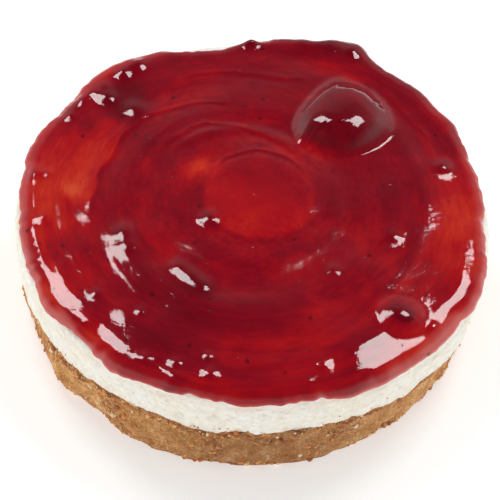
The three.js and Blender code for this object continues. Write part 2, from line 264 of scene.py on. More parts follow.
# Small solids strewn over a surface, more of them where the named share is high.
def strewnTree():
    tree, given = newTree("strewnBits", {
        "Share": ("NodeSocketString", "bitShare"), "Density": ("NodeSocketFloat", 10000.0),
        "Smallest": ("NodeSocketFloat", 0.0004), "Largest": ("NodeSocketFloat", 0.0012),
        "Fineness": ("NodeSocketFloat", 2.0), "Proportions": ("NodeSocketVector", (1, 1, 1)),
        "Unevenness": ("NodeSocketFloat", 0.2), "Lie Flat": ("NodeSocketFloat", 0.0),
        "Sink": ("NodeSocketFloat", 0.0), "Seed": ("NodeSocketInt", 1), "Roundness": ("NodeSocketInt", 1),
        "Material": ("NodeSocketMaterial", None),
    })
    share = addNode(tree, "GeometryNodeInputNamedAttribute", {"Name": given["Share"]}, data_type="FLOAT")
    density = addNode(tree, "ShaderNodeMath", {0: share.outputs[0], 1: given["Density"]},
                      operation="MULTIPLY")
    spread = addNode(tree, "GeometryNodeDistributePointsOnFaces",
                     {"Mesh": given["Geometry"], "Density": density.outputs[0], "Seed": given["Seed"]})
    draw = addNode(tree, "FunctionNodeRandomValue", {"Seed": given["Seed"]}, data_type="FLOAT")
    fine = addNode(tree, "ShaderNodeMath", {0: draw.outputs[1], 1: given["Fineness"]}, operation="POWER")
    size = addNode(tree, "ShaderNodeMapRange", {"Value": fine.outputs[0], "To Min": given["Smallest"],
                                                "To Max": given["Largest"]})
    lowest = addNode(tree, "ShaderNodeMath", {0: 1.0, 1: given["Unevenness"]}, operation="SUBTRACT")
    highest = addNode(tree, "ShaderNodeMath", {0: 1.0, 1: given["Unevenness"]}, operation="ADD")
    second, third, fourth = (addNode(tree, "ShaderNodeMath", {0: given["Seed"], 1: step},
                                     operation="ADD").outputs[0] for step in (11.0, 23.0, 37.0))
    shape = addNode(tree, "FunctionNodeRandomValue", {0: lowest.outputs[0], 1: highest.outputs[0],
                                                      "Seed": second}, data_type="FLOAT_VECTOR")
    whole = addNode(tree, "ShaderNodeVectorMath", {0: given["Proportions"], 1: shape.outputs[0]},
                    operation="MULTIPLY")
    scale = addNode(tree, "ShaderNodeVectorMath", {0: whole.outputs[0], 3: size.outputs[0]},
                    operation="SCALE")
    fullTurn = 6.2832
    turn = addNode(tree, "FunctionNodeRandomValue", {0: (0, 0, 0), 1: (fullTurn, fullTurn, fullTurn),
                                                     "Seed": third}, data_type="FLOAT_VECTOR")
    spin = addNode(tree, "ShaderNodeSeparateXYZ", {0: turn.outputs[0]})
    flatTurn = addNode(tree, "ShaderNodeCombineXYZ", {2: spin.outputs[2]})
    lean = addNode(tree, "FunctionNodeRotateRotation", {0: spread.outputs["Rotation"],
                                                       1: flatTurn.outputs[0]}, rotation_space="LOCAL")
    anyTurn = addNode(tree, "FunctionNodeEulerToRotation", {0: turn.outputs[0]})
    laid = addNode(tree, "GeometryNodeSwitch", {1: anyTurn.outputs[0], 2: lean.outputs[0]},
                   input_type="ROTATION")
    flat = addNode(tree, "FunctionNodeCompare", {0: given["Lie Flat"], 1: 0.5}, operation="GREATER_THAN")
    tree.links.new(flat.outputs[0], laid.inputs[0])
    ball = addNode(tree, "GeometryNodeMeshIcoSphere", {0: 0.5, 1: given["Roundness"]})
    down = addNode(tree, "ShaderNodeMath", {0: given["Sink"], 1: -1.0}, operation="MULTIPLY")
    deep = addNode(tree, "ShaderNodeMath", {0: down.outputs[0], 1: size.outputs[0]}, operation="MULTIPLY")
    drop = addNode(tree, "ShaderNodeVectorMath", {0: spread.outputs["Normal"], 3: deep.outputs[0]},
                   operation="SCALE")
    sunk = addNode(tree, "GeometryNodeSetPosition",
                   {"Geometry": spread.outputs[0], "Offset": drop.outputs[0]})
    tone = addNode(tree, "FunctionNodeRandomValue", {"Seed": fourth}, data_type="FLOAT")
    toned = addNode(tree, "GeometryNodeStoreNamedAttribute",
                    {"Geometry": sunk.outputs[0], "Name": "tone", "Value": tone.outputs[1]},
                    data_type="FLOAT", domain="POINT")
    placed = addNode(tree, "GeometryNodeInstanceOnPoints",
                     {"Points": toned.outputs[0], "Instance": ball.outputs[0],
                      "Rotation": laid.outputs[0], "Scale": scale.outputs[0]})
    solid = addNode(tree, "GeometryNodeRealizeInstances", {0: placed.outputs[0]})
    endTree(tree, solid.outputs[0], given)
    return tree


def newMaterial(name):
    material = bpy.data.materials.new(name)
    material.use_nodes = True
    tree = material.node_tree
    tree.nodes.clear()
    return material, tree


def fillRamp(ramp, stops):
    bar = ramp.color_ramp.elements
    while len(bar) < len(stops):
        bar.new(0.5)
    for element, (position, colour) in zip(bar, stops):
        element.position = position
        element.color = linear(colour)


# Biscuit crumb pressed with butter: a dense tan paste where the tin smoothed it, and coarse golden grains
# where it broke away, with painted shade in the gaps between them.
def biscuitCrumb(look):
    material, tree = newMaterial("pressedBiscuitCrumb")
    place = addNode(tree, "ShaderNodeTexCoord").outputs["Object"]
    patch = addNode(tree, "ShaderNodeTexNoise", {"Vector": place, "Scale": 1 / (look["patchSize"] * mm),
                                                 "Detail": 5.0, "Roughness": 0.6})
    fineGrain = addNode(tree, "ShaderNodeTexVoronoi",
                        {"Vector": place, "Scale": 1 / (look["grainSize"] * mm)})
    pick = addNode(tree, "ShaderNodeSeparateColor", {0: fineGrain.outputs["Color"]})
    spread = addNode(tree, "ShaderNodeMapRange", {"Value": pick.outputs[0], "To Min": -look["grainTone"],
                                                  "To Max": look["grainTone"]})
    tone = addNode(tree, "ShaderNodeMath", {0: patch.outputs[0], 1: spread.outputs[0]}, operation="ADD")
    paste = addNode(tree, "ShaderNodeValToRGB", {0: tone.outputs[0]})
    fillRamp(paste, look["paste"])
    # Broken crumbs of uneven outline, each toasted its own brown, with painted shade in the gaps between
    # them.
    wobbleSize, wobbleReach = look["crumbWobble"]
    wobble = addNode(tree, "ShaderNodeTexNoise", {"Vector": place, "Scale": 1 / (wobbleSize * mm)})
    centred = addNode(tree, "ShaderNodeVectorMath", {0: wobble.outputs["Color"], 1: (0.5, 0.5, 0.5)},
                      operation="SUBTRACT")
    pushed = addNode(tree, "ShaderNodeVectorMath",
                     {0: centred.outputs[0], 1: [wobbleReach * mm] * 3, 2: place},
                     operation="MULTIPLY_ADD").outputs[0]
    perCrumb = 1 / (look["crumb"][0] * mm)
    cells = addNode(tree, "ShaderNodeTexVoronoi", {"Vector": pushed, "Scale": perCrumb})
    edges = addNode(tree, "ShaderNodeTexVoronoi", {"Vector": pushed, "Scale": perCrumb},
                    feature="DISTANCE_TO_EDGE")
    draw = addNode(tree, "ShaderNodeSeparateColor", {0: cells.outputs["Color"]})
    mixed = addNode(tree, "ShaderNodeMath", {0: draw.outputs[0], 1: spread.outputs[0]}, operation="ADD")
    grains = addNode(tree, "ShaderNodeValToRGB", {0: mixed.outputs[0]})
    fillRamp(grains, look["grains"])
    coarse = addNode(tree, "ShaderNodeAttribute", attribute_name="coarse")
    both = addNode(tree, "ShaderNodeMix",
                   {0: coarse.outputs["Fac"], 6: paste.outputs[0], 7: grains.outputs[0]}, data_type="RGBA")
    # Painted shade in the gaps between the crumbs, on the coarse parts only.
    between = addNode(tree, "ShaderNodeMapRange", {"Value": edges.outputs[0], "From Min": 0.01,
                                                   "From Max": look["gapWidth"],
                                                   "To Min": look["gapShade"], "To Max": 0.0},
                      interpolation_type="SMOOTHSTEP")
    shadedGaps = addNode(tree, "ShaderNodeMath", {0: between.outputs[0], 1: coarse.outputs["Fac"]},
                   operation="MULTIPLY")
    # Painted shade in the grooves and on the side toward the front; the darker of it and the gaps' painted
    # shade is used.
    shade = addNode(tree, "ShaderNodeAttribute", attribute_name="groove")
    deep = addNode(tree, "ShaderNodeMath", {0: shadedGaps.outputs[0], 1: shade.outputs["Fac"]},
                   operation="MAXIMUM")
    dark = addNode(tree, "ShaderNodeMix", {0: deep.outputs[0], 6: both.outputs[2],
                                           7: linear(look["paintedShadeColour"])}, data_type="RGBA")
    crumbs = addNode(tree, "ShaderNodeMapRange",
                     {"Value": edges.outputs[0], "From Max": look["crumbRound"]},
                     interpolation_type="SMOOTHSTEP")
    standing = addNode(tree, "ShaderNodeMath", {0: crumbs.outputs[0], 1: coarse.outputs["Fac"]},
                       operation="MULTIPLY")
    fine = addNode(tree, "ShaderNodeTexNoise", {"Vector": place, "Scale": 1 / (look["bumpSize"] * mm),
                                                "Detail": 3.0})
    height = addNode(tree, "ShaderNodeMath",
                     {0: fine.outputs[0], 1: look["fineBump"], 2: standing.outputs[0]},
                     operation="MULTIPLY_ADD")
    bump = addNode(tree, "ShaderNodeBump", {"Height": height.outputs[0], "Strength": look["bump"],
                                            "Distance": look["bumpDepth"] * mm})
    shader = addNode(tree, "ShaderNodeBsdfPrincipled", {
        "Base Color": dark.outputs[2], "Roughness": 0.62, "IOR": 1.45, "Normal": bump.outputs[0],
        "Subsurface Weight": 0.1, "Subsurface Radius": (1.0, 0.6, 0.35), "Subsurface Scale": 0.5 * mm,
    })
    addNode(tree, "ShaderNodeOutputMaterial", {0: shader.outputs[0]})
    return material


# Loose biscuit crumbs, toasted unevenly: each bit has its own brown, and the palest of the tones is a
# painted glint on some bits.
def looseCrumb(look):
    material, tree = newMaterial("looseBiscuitCrumb")
    tone = addNode(tree, "ShaderNodeAttribute", attribute_name="tone")
    ramp = addNode(tree, "ShaderNodeValToRGB", {0: tone.outputs["Fac"]})
    fillRamp(ramp, look["tones"])
    shader = addNode(tree, "ShaderNodeBsdfPrincipled", {
        "Base Color": ramp.outputs[0], "Roughness": 0.6, "IOR": 1.45,
        "Subsurface Weight": 0.2, "Subsurface Radius": (1.0, 0.6, 0.35), "Subsurface Scale": 0.8 * mm,
    })
    addNode(tree, "ShaderNodeOutputMaterial", {0: shader.outputs[0]})
    return material


# Set cream cheese, smoothed with a knife: fatty and dense, so light sinks in and the sheen is low.
def creamCheese(look):
    material, tree = newMaterial("setCreamCheese")
    place = addNode(tree, "ShaderNodeTexCoord").outputs["Object"]
    patch = addNode(tree, "ShaderNodeTexNoise", {"Vector": place, "Scale": 1 / (look["patchSize"] * mm),
                                                 "Detail": 4.0})
    ramp = addNode(tree, "ShaderNodeValToRGB", {0: patch.outputs[0]})
    fillRamp(ramp, look["creams"])
    tint = addNode(tree, "ShaderNodeAttribute", attribute_name="pink")
    pink = addNode(tree, "ShaderNodeMix", {0: tint.outputs["Fac"], 6: ramp.outputs[0],
                                           7: linear(look["pinkColour"])}, data_type="RGBA")
    stain = addNode(tree, "ShaderNodeAttribute", attribute_name="crumbed")
    brown = addNode(tree, "ShaderNodeMix", {0: stain.outputs["Fac"], 6: pink.outputs[2],
                                            7: linear(look["crumbColour"])}, data_type="RGBA")
    curds = addNode(tree, "ShaderNodeTexNoise", {"Vector": place, "Scale": 1 / (look["curdSize"] * mm),
                                                 "Detail": 3.0, "Roughness": 0.6, "Distortion": 0.4})
    # Painted shade: the cream is darker and yellower in the low spots of its curds.
    low = addNode(tree, "ShaderNodeMapRange", {"Value": curds.outputs[0], "From Min": 0.32,
                                               "From Max": 0.56, "To Min": look["pitShade"], "To Max": 0.0})
    toned = addNode(tree, "ShaderNodeMix", {0: low.outputs[0], 6: brown.outputs[2],
                                            7: linear(look["pitShadeColour"])}, data_type="RGBA")
    fine = addNode(tree, "ShaderNodeTexNoise", {"Vector": place, "Scale": 1 / (look["bumpSize"] * mm)})
    height = addNode(tree, "ShaderNodeMath", {0: fine.outputs[0], 1: look["fineBump"], 2: curds.outputs[0]},
                     operation="MULTIPLY_ADD")
    bump = addNode(tree, "ShaderNodeBump", {"Height": height.outputs[0], "Strength": look["bump"],
                                            "Distance": look["bumpDepth"] * mm})
    shader = addNode(tree, "ShaderNodeBsdfPrincipled", {
        "Base Color": toned.outputs[2], "Roughness": 0.48, "IOR": 1.45, "Normal": bump.outputs[0],
        "Subsurface Weight": 0.25, "Subsurface Radius": (1.0, 0.8, 0.55),
        "Subsurface Scale": look["glowReach"] * mm,
    })
    addNode(tree, "ShaderNodeOutputMaterial", {0: shader.outputs[0]})
    return material


# Strawberry topping cooked with sugar and set: clear red jelly with pulp drawn out by the knife.
# It darkens where it is thick, lets the cream glow through where it is thin, and has a wet gloss.
def strawberryJelly(look):
    material, tree = newMaterial("setStrawberryJelly")
    place = addNode(tree, "ShaderNodeTexCoord").outputs["Object"]
    parts = addNode(tree, "ShaderNodeSeparateXYZ", {0: place})
    level = addNode(tree, "ShaderNodeCombineXYZ", {0: parts.outputs[0], 1: parts.outputs[1]}).outputs[0]
    radius = addNode(tree, "ShaderNodeVectorMath", {0: level}, operation="LENGTH").outputs["Value"]
    outward = addNode(tree, "ShaderNodeVectorMath", {0: level}, operation="NORMALIZE").outputs[0]
    offCentre = addNode(tree, "ShaderNodeMapRange",
                        {"Value": radius, "From Min": 4 * mm, "From Max": 20 * mm})

    def drawnOut(across, along):
        drum = addNode(tree, "ShaderNodeVectorMath", {0: outward, 3: meanRadius * mm * across / along},
                       operation="SCALE").outputs[0]
        lift = addNode(tree, "ShaderNodeCombineXYZ", {2: radius}).outputs[0]
        spot = addNode(tree, "ShaderNodeVectorMath", {0: drum, 1: lift}, operation="ADD").outputs[0]
        return addNode(tree, "ShaderNodeTexNoise", {"Vector": spot, "Scale": 1 / (across * mm),
                                                    "Detail": 3.0, "Distortion": 0.5}).outputs[0]

    thick = addNode(tree, "ShaderNodeAttribute", attribute_name="thick")
    cloud = addNode(tree, "ShaderNodeTexNoise", {"Vector": place, "Scale": 1 / (look["cloudSize"] * mm),
                                                 "Detail": 3.0, "Distortion": 0.6})
    drift = addNode(tree, "ShaderNodeMapRange", {"Value": cloud.outputs[0], "From Min": 0.3,
                                                 "From Max": 0.7, "To Min": -look["cloud"],
                                                 "To Max": look["cloud"]})
    across, along, amount = look["streak"]
    pulp = addNode(tree, "ShaderNodeMapRange", {"Value": drawnOut(across, along), "From Min": 0.3,
                                                "From Max": 0.7, "To Min": -amount, "To Max": amount})
    calm = addNode(tree, "ShaderNodeMath", {0: pulp.outputs[0], 1: offCentre.outputs[0]},
                   operation="MULTIPLY")
    first = addNode(tree, "ShaderNodeMath", {0: thick.outputs["Fac"], 1: drift.outputs[0]}, operation="ADD")
    depth = addNode(tree, "ShaderNodeMath", {0: first.outputs[0], 1: calm.outputs[0]}, operation="ADD")
    ramp = addNode(tree, "ShaderNodeValToRGB", {0: depth.outputs[0]})
    fillRamp(ramp, look["reds"])
    edge = addNode(tree, "ShaderNodeAttribute", attribute_name="lip")
    lip = addNode(tree, "ShaderNodeMix", {0: edge.outputs["Fac"], 6: ramp.outputs[0],
                                          7: linear(look["lipColour"])}, data_type="RGBA")
    # Dark bits of fruit just under the skin, in about a third of the cells of a loose pattern.
    cellSize, bitSize, bitShare = look["speck"]
    cells = addNode(tree, "ShaderNodeTexVoronoi", {"Vector": place, "Scale": 1 / (cellSize * mm)})
    ragged = addNode(tree, "ShaderNodeTexNoise", {"Vector": place, "Scale": 1 / (1.2 * mm), "Detail": 2.0})
    uneven = addNode(tree, "ShaderNodeMath", {0: ragged.outputs[0], 1: 0.22, 2: -0.11},
                     operation="MULTIPLY_ADD")
    away = addNode(tree, "ShaderNodeMath", {0: cells.outputs["Distance"], 1: uneven.outputs[0]},
                   operation="ADD")
    bit = addNode(tree, "ShaderNodeMapRange", {"Value": away.outputs[0],
                                               "From Min": 0.5 * bitSize / cellSize,
                                               "From Max": 1.5 * bitSize / cellSize, "To Min": 0.75,
                                               "To Max": 0.0}, interpolation_type="SMOOTHSTEP")
    draw = addNode(tree, "ShaderNodeSeparateColor", {0: cells.outputs["Color"]})
    chosen = addNode(tree, "ShaderNodeMath", {0: draw.outputs[0], 1: bitShare}, operation="LESS_THAN")
    speck = addNode(tree, "ShaderNodeMath", {0: bit.outputs[0], 1: chosen.outputs[0]}, operation="MULTIPLY")
    body = addNode(tree, "ShaderNodeMix", {0: speck.outputs[0], 6: lip.outputs[2],
                                           7: linear(look["speckColour"])}, data_type="RGBA")
    # Fine wrinkles along the sweep of the knife, in some places only, and the softer gloss they give.
    across, along, deep = look["wrinkle"]
    lines = addNode(tree, "ShaderNodeMath", {0: drawnOut(across, along), 1: offCentre.outputs[0]},
                    operation="MULTIPLY")
    satin = addNode(tree, "ShaderNodeAttribute", attribute_name="satin").outputs["Fac"]
    strength = addNode(tree, "ShaderNodeMath", {0: satin, 1: deep}, operation="MULTIPLY")
    wrinkles = addNode(tree, "ShaderNodeBump", {"Height": lines.outputs[0], "Strength": strength.outputs[0],
                                                "Distance": look["wrinkleDepth"] * mm})
    fine = addNode(tree, "ShaderNodeTexNoise", {"Vector": place, "Scale": 1 / (look["bumpSize"] * mm),
                                                "Detail": 2.0})
    bump = addNode(tree, "ShaderNodeBump", {"Height": fine.outputs[0], "Strength": look["bump"],
                                            "Distance": look["bumpDepth"] * mm,
                                            "Normal": wrinkles.outputs[0]})
    gloss = addNode(tree, "ShaderNodeMapRange", {"Value": satin, "To Min": look["roughness"][0],
                                                 "To Max": look["roughness"][1]})
    shader = addNode(tree, "ShaderNodeBsdfPrincipled", {
        "Base Color": body.outputs[2], "Roughness": gloss.outputs[0], "IOR": 1.45,
        "Normal": bump.outputs[0], "Subsurface Weight": look["depthGlow"],
        "Subsurface Radius": (1.0, 0.12, 0.08), "Subsurface Scale": look["glowReach"] * mm,
    })
    addNode(tree, "ShaderNodeOutputMaterial", {0: shader.outputs[0]})
    return material


# Strawberry seeds under a film of jelly.
def seedSkin(look):
    material, tree = newMaterial("strawberrySeed")
    tone = addNode(tree, "ShaderNodeAttribute", attribute_name="tone")
    ramp = addNode(tree, "ShaderNodeValToRGB", {0: tone.outputs["Fac"]})
    fillRamp(ramp, look["tones"])
    shader = addNode(tree, "ShaderNodeBsdfPrincipled", {
        "Base Color": ramp.outputs[0], "Roughness": 0.18, "IOR": 1.45,
    })
    addNode(tree, "ShaderNodeOutputMaterial", {0: shader.outputs[0]})
    return material


relief = reliefTree()
strewn = strewnTree()

# The crumb base.
crumbBase = {
    "height": 20.5, "footRadius": 82.9, "topRadius": 83.5, "levelShare": 0.9,
    "around": 1280, "rows": 50,
    # Relief: size, depth. A third number is a share.
    "lump": (9, 0.9), "grain": (4, 0.5), "edgeWave": (13, 0.9, 0.3),
    "ragged": [(5.5, 1.4), (2.6, 1.0), (1.4, 0.5)],
    "fineLump": (3.0, 0.9), "crumb": (1.25, 1.0), "pit": (2.6, 0.7, 0.3),
    "worn": {"foot": 0.8, "footShare": 0.16, "top": 0.5, "topShare": 0.9},
    # Where the top edge is low: degrees, half width, depth.
    "edgeDips": [(200, 12, 5.5), (229, 8, 2.5), (313, 9, 2), (334, 13, 5.5)],
    # Where the wall is pressed out: degrees, half width, height, half height, reach.
    "pressedOut": [(223, 6, 7, 7, 2.8), (259, 26, 0, 14, 1.3), (253, 14, 3, 12, 1), (243, 6, 3, 12, 0.9),
                   (288, 9, 3, 12, 1.2)],
    # How tall the bands are where the crumb broke away, and how rough it is where the tin smoothed it.
    "topBand": 2.2, "footBand": 2.6, "brokenPatch": 8, "smoothed": 0.22,
    # Where the top band is taller: degrees, half width, by how much.
    "tallBand": (225, 48, 1.4),
    # Painted shade on the side toward the front and in grooves: degrees, half width, amount. The shaded
    # grooves: height and half height too.
    "frontShade": (276, 30, 0.52), "shadedGrooves": (268, 45, 0.6, 4, 6),
    "patchSize": 6, "grainSize": 0.55, "grainTone": 0.17, "gapShade": 0.75, "gapWidth": 0.13,
    "crumbWobble": (0.8, 0.9), "crumbRound": 0.3,
    "bumpSize": 0.5, "bump": 0.9, "bumpDepth": 0.35, "fineBump": 0.8,
    "paste": [(0.25, "#a0682c"), (0.45, "#c68743"), (0.6, "#dba05b"), (0.74, "#ecc183"), (0.84, "#f7ecd3")],
    "grains": [(0.0, "#a85c2a"), (0.35, "#d38845"), (0.7, "#e8a55d"), (1.0, "#f4c48c")],
    # The colour that the painted shade darkens the crumb toward.
    "paintedShadeColour": "#6c3512",
}


def crustEdgeHeight(angle):
    base = crumbBase
    x, y = base["topRadius"] * np.cos(angle), base["topRadius"] * np.sin(angle)
    length, height, fineShare = base["edgeWave"]
    ragged = lump(x, y, 0, length) + fineShare * lump(x, y, 40, length / 2)
    total = base["height"] + height * ragged
    total = total + sum(rise * lump(x, y, 12, size) for size, rise in base["ragged"])
    for degrees, width, drop in base["edgeDips"]:
        total = total - drop * bell(wrap(np.degrees(angle) - degrees), width)
    return total


def crustWall(angle, share):
    base = crumbBase
    z = share * crustEdgeHeight(angle)
    radius = mix(base["footRadius"], base["topRadius"], share)
    x, y = radius * np.cos(angle), radius * np.sin(angle)
    rough = sum(depth * lump(x, y, z, size) for size, depth in (base["lump"], base["grain"]))
    for degrees, width, height, tall, reach in base["pressedOut"]:
        rough = rough + reach * bell(wrap(np.degrees(angle) - degrees), width) * bell(z - height, tall)
    worn = base["worn"]
    lost = worn["foot"] * (1 - smooth(0, worn["footShare"], share))
    lost = lost + worn["top"] * smooth(worn["topShare"], 1, share)
    return radius + rough - lost, z


def crustTopAt(radius, angle):
    level = crumbBase["levelShare"] * crumbBase["topRadius"]
    share = np.clip((radius - level) / (crumbBase["topRadius"] - level), 0, 1)
    return mix(crumbBase["height"], crustEdgeHeight(angle), share)


def makeCrumbBase():
    base = crumbBase
    angle = np.arange(base["around"]) / base["around"] * 2 * np.pi
    level = base["levelShare"] * base["topRadius"]
    flat = 0 * angle
    rings = [(20 + flat, flat), (60 + flat, flat)]
    rings += [(crustWall(angle, 0)[0] - inset, flat) for inset in (6, 2.5, 0.9)]
    for row in range(base["rows"] + 1):
        rings.append(crustWall(angle, row / base["rows"]))
    firstRow = len(rings) - base["rows"] - 1
    rings += [(level + flat, base["height"] + flat), (40 + flat, base["height"] + flat)]
    count = len(rings)
    rough, coarse, loose, groove = (np.zeros((count, base["around"])) for _ in range(4))
    degrees = np.degrees(angle)
    middle, width, taller = base["tallBand"]
    topBand = base["topBand"] + taller * bell(wrap(degrees - middle), width)
    # Painted shade on the side of the crumb toward the front, and in grooves near its foot.
    middle, width, amount = base["frontShade"]
    shade = amount * bell(wrap(degrees - middle), width)
    middle, width, amount, height, tall = base["shadedGrooves"]
    grooveShading = amount * bell(wrap(degrees - middle), width)
    for row in range(firstRow, firstRow + base["rows"] + 1):
        share = (row - firstRow) / base["rows"]
        radius, z = rings[row]
        x, y = radius * np.cos(angle), radius * np.sin(angle)
        below = crustEdgeHeight(angle) - z
        band = topBand + 1.5 * lump(x, y, 300, 9)
        nearTop = 1 - smooth(0.6, 1.3, below / np.maximum(band, 0.8))
        band = base["footBand"] + base["footBand"] * lump(x, y, 200, 11)
        nearFoot = 1 - smooth(0.6, 1.3, z / np.maximum(band, 0.6))
        patches = smooth(0.2, 0.5, lump(x, y, z * 1.5 + 90, base["brokenPatch"]))
        broken = np.clip(np.maximum(np.maximum(nearTop, nearFoot), 0.8 * patches), 0, 1)
        coarse[row] = broken
        ends = smooth(0, 0.06, share) * (1 - smooth(0.97, 1, share))
        rough[row] = mix(base["smoothed"], 1, broken) * ends
        loose[row] = np.clip(0.08 + 0.9 * nearTop + 0.7 * nearFoot + 0.3 * patches, 0, 1.5)
        loose[row] *= 1 - smooth(0.99, 1, share)
        shadedGrooves = smooth(0.25, 0.6, lump(x, y, z + 150, 5)) * bell(z - height, tall)
        groove[row] = np.maximum(grooveShading * shadedGrooves, shade)
    values = {"roughShare": rough, "coarse": coarse, "looseShare": loose, "groove": groove}
    return turnedMesh("crumb_base_baked", rings, ringValues(values))


print("crumb base")
crumbStuff = biscuitCrumb(crumbBase)
crumbPiece = makeCrumbBase()
runTree(crumbPiece, relief, "pressed_crumb_base", {
    "Lump Size": crumbBase["fineLump"][0] * mm, "Lump Depth": crumbBase["fineLump"][1] * mm,
    "Grain Size": crumbBase["crumb"][0] * mm, "Grain Depth": crumbBase["crumb"][1] * mm,
    "Pit Size": crumbBase["pit"][0] * mm, "Pit Depth": crumbBase["pit"][1] * mm,
    "Pit Share": crumbBase["pit"][2], "Material": crumbStuff,
})
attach(crumbPiece, "root")
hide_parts("crumb_base")

# Crumbs that came loose: small ones on most of the base, larger ones along its edges.
looseCrumbs = {
    "fine": {"perSquareMetre": 500000, "smallest": 0.3, "largest": 0.95, "fineness": 2.0, "seed": 4},
    "coarse": {"perSquareMetre": 230000, "smallest": 0.8, "largest": 2.3, "fineness": 2.2, "seed": 9},
    "onCream": {"perSquareMetre": 60000, "smallest": 0.35, "largest": 1.1, "fineness": 2.2, "seed": 15},
    # The browns are toasting; the palest tone paints glints of light on some bits.
    "tones": [(0.0, "#a1562a"), (0.35, "#d08645"), (0.8, "#e6a45c"), (1.0, "#f5e0bc")],
}


def strewCrumbs(carrier, kind, stuff):
    crumbs = looseCrumbs[kind]
    bits = runTree(carrier, strewn, kind + "_loose_crumbs", {
        "Share": "looseShare", "Density": float(crumbs["perSquareMetre"]),
        "Smallest": crumbs["smallest"] * mm, "Largest": crumbs["largest"] * mm,
        "Fineness": crumbs["fineness"], "Unevenness": 0.35, "Seed": crumbs["seed"],
        "Sink": 0.12, "Material": stuff,
    }, keep=True)
    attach(bits, "root")


print("loose crumbs")
crumbSkin = looseCrumb(looseCrumbs)
strewCrumbs(crumbPiece, "fine", crumbSkin)
strewCrumbs(crumbPiece, "coarse", crumbSkin)

# The cream layer, from the crust's edge to under the topping.
creamLayer = {
    "topHeight": 38, "radius": 84, "footRadius": 83.2, "swell": 0.5, "corner": 2.6,
    # Where the wall is pushed out: degrees, half width, reach.
    "pushed": [(331, 12, 1.3), (66.5, 6.5, 5.2)],
    "edgeGap": -0.3, "around": 1000, "rows": 46,
    # Relief: size, depth. A third number is a share.
    "wobble": (26, 0.45), "knife": (7, 0.45), "lump": (2.8, 0.8), "grain": (1.3, 0.6),
    "pit": (2.6, 0.5, 0.35),
    # Where the topping has tinted the cream under its rim: amount, reach in mm.
    "pinkEdge": [(0.75, 1.1), (0.25, 3.5)],
    # Specks of crumb on the cream's foot: degrees, half width, reach up, amount.
    "specks": (250, 60, 3.2, 0.5), "dotReach": 2.6,
    "patchSize": 9, "curdSize": 2.2, "bumpSize": 0.5, "bump": 0.8, "bumpDepth": 1.1, "fineBump": 0.15,
    # Painted shade in the low spots of the curds: how much, and its colour.
    "glowReach": 1.0, "pitShade": 0.4, "pitShadeColour": "#e3d6bc",
    "creams": [(0.3, "#f9f1df"), (0.5, "#fffaee"), (0.7, "#fffdf6")],
    "pinkColour": "#dc8a84", "crumbColour": "#c99a5e",
}


def creamRadiusAt(angle, below):
    cream = creamLayer
    length, height = cream["wobble"]
    x, y = cream["radius"] * np.cos(angle), cream["radius"] * np.sin(angle)
    share = np.clip(below / (cream["topHeight"] - crumbBase["height"]), 0, 1)
    swell = cream["swell"] * (np.sin(np.pi * share) - 1)
    pushed = sum(reach * bell(wrap(np.degrees(angle) - degrees), width)
                 for degrees, width, reach in cream["pushed"])
    return cream["radius"] + swell + pushed + height * lump(x, y, 90, length)


# A point on the cream's skin, so far along it from the axis and so far above it.
def creamSurface(angle, along, raised):
    cream = creamLayer
    start = creamRadiusAt(angle, 0) - cream["corner"]
    turnLength = cream["corner"] * np.pi / 2
    turn = np.clip((along - start) / cream["corner"], 0, np.pi / 2)
    below = cream["corner"] + np.maximum(along - start - turnLength, 0)
    onTop, onWall = along <= start, along >= start + turnLength
    radius = np.where(onTop, along, start + (cream["corner"] + raised) * np.sin(turn))
    radius = np.where(onWall, creamRadiusAt(angle, below) + raised, radius)
    height = cream["topHeight"] - cream["corner"] + (cream["corner"] + raised) * np.cos(turn)
    height = np.where(onTop, cream["topHeight"] + raised, height)
    return radius, np.where(onWall, cream["topHeight"] - below, height)


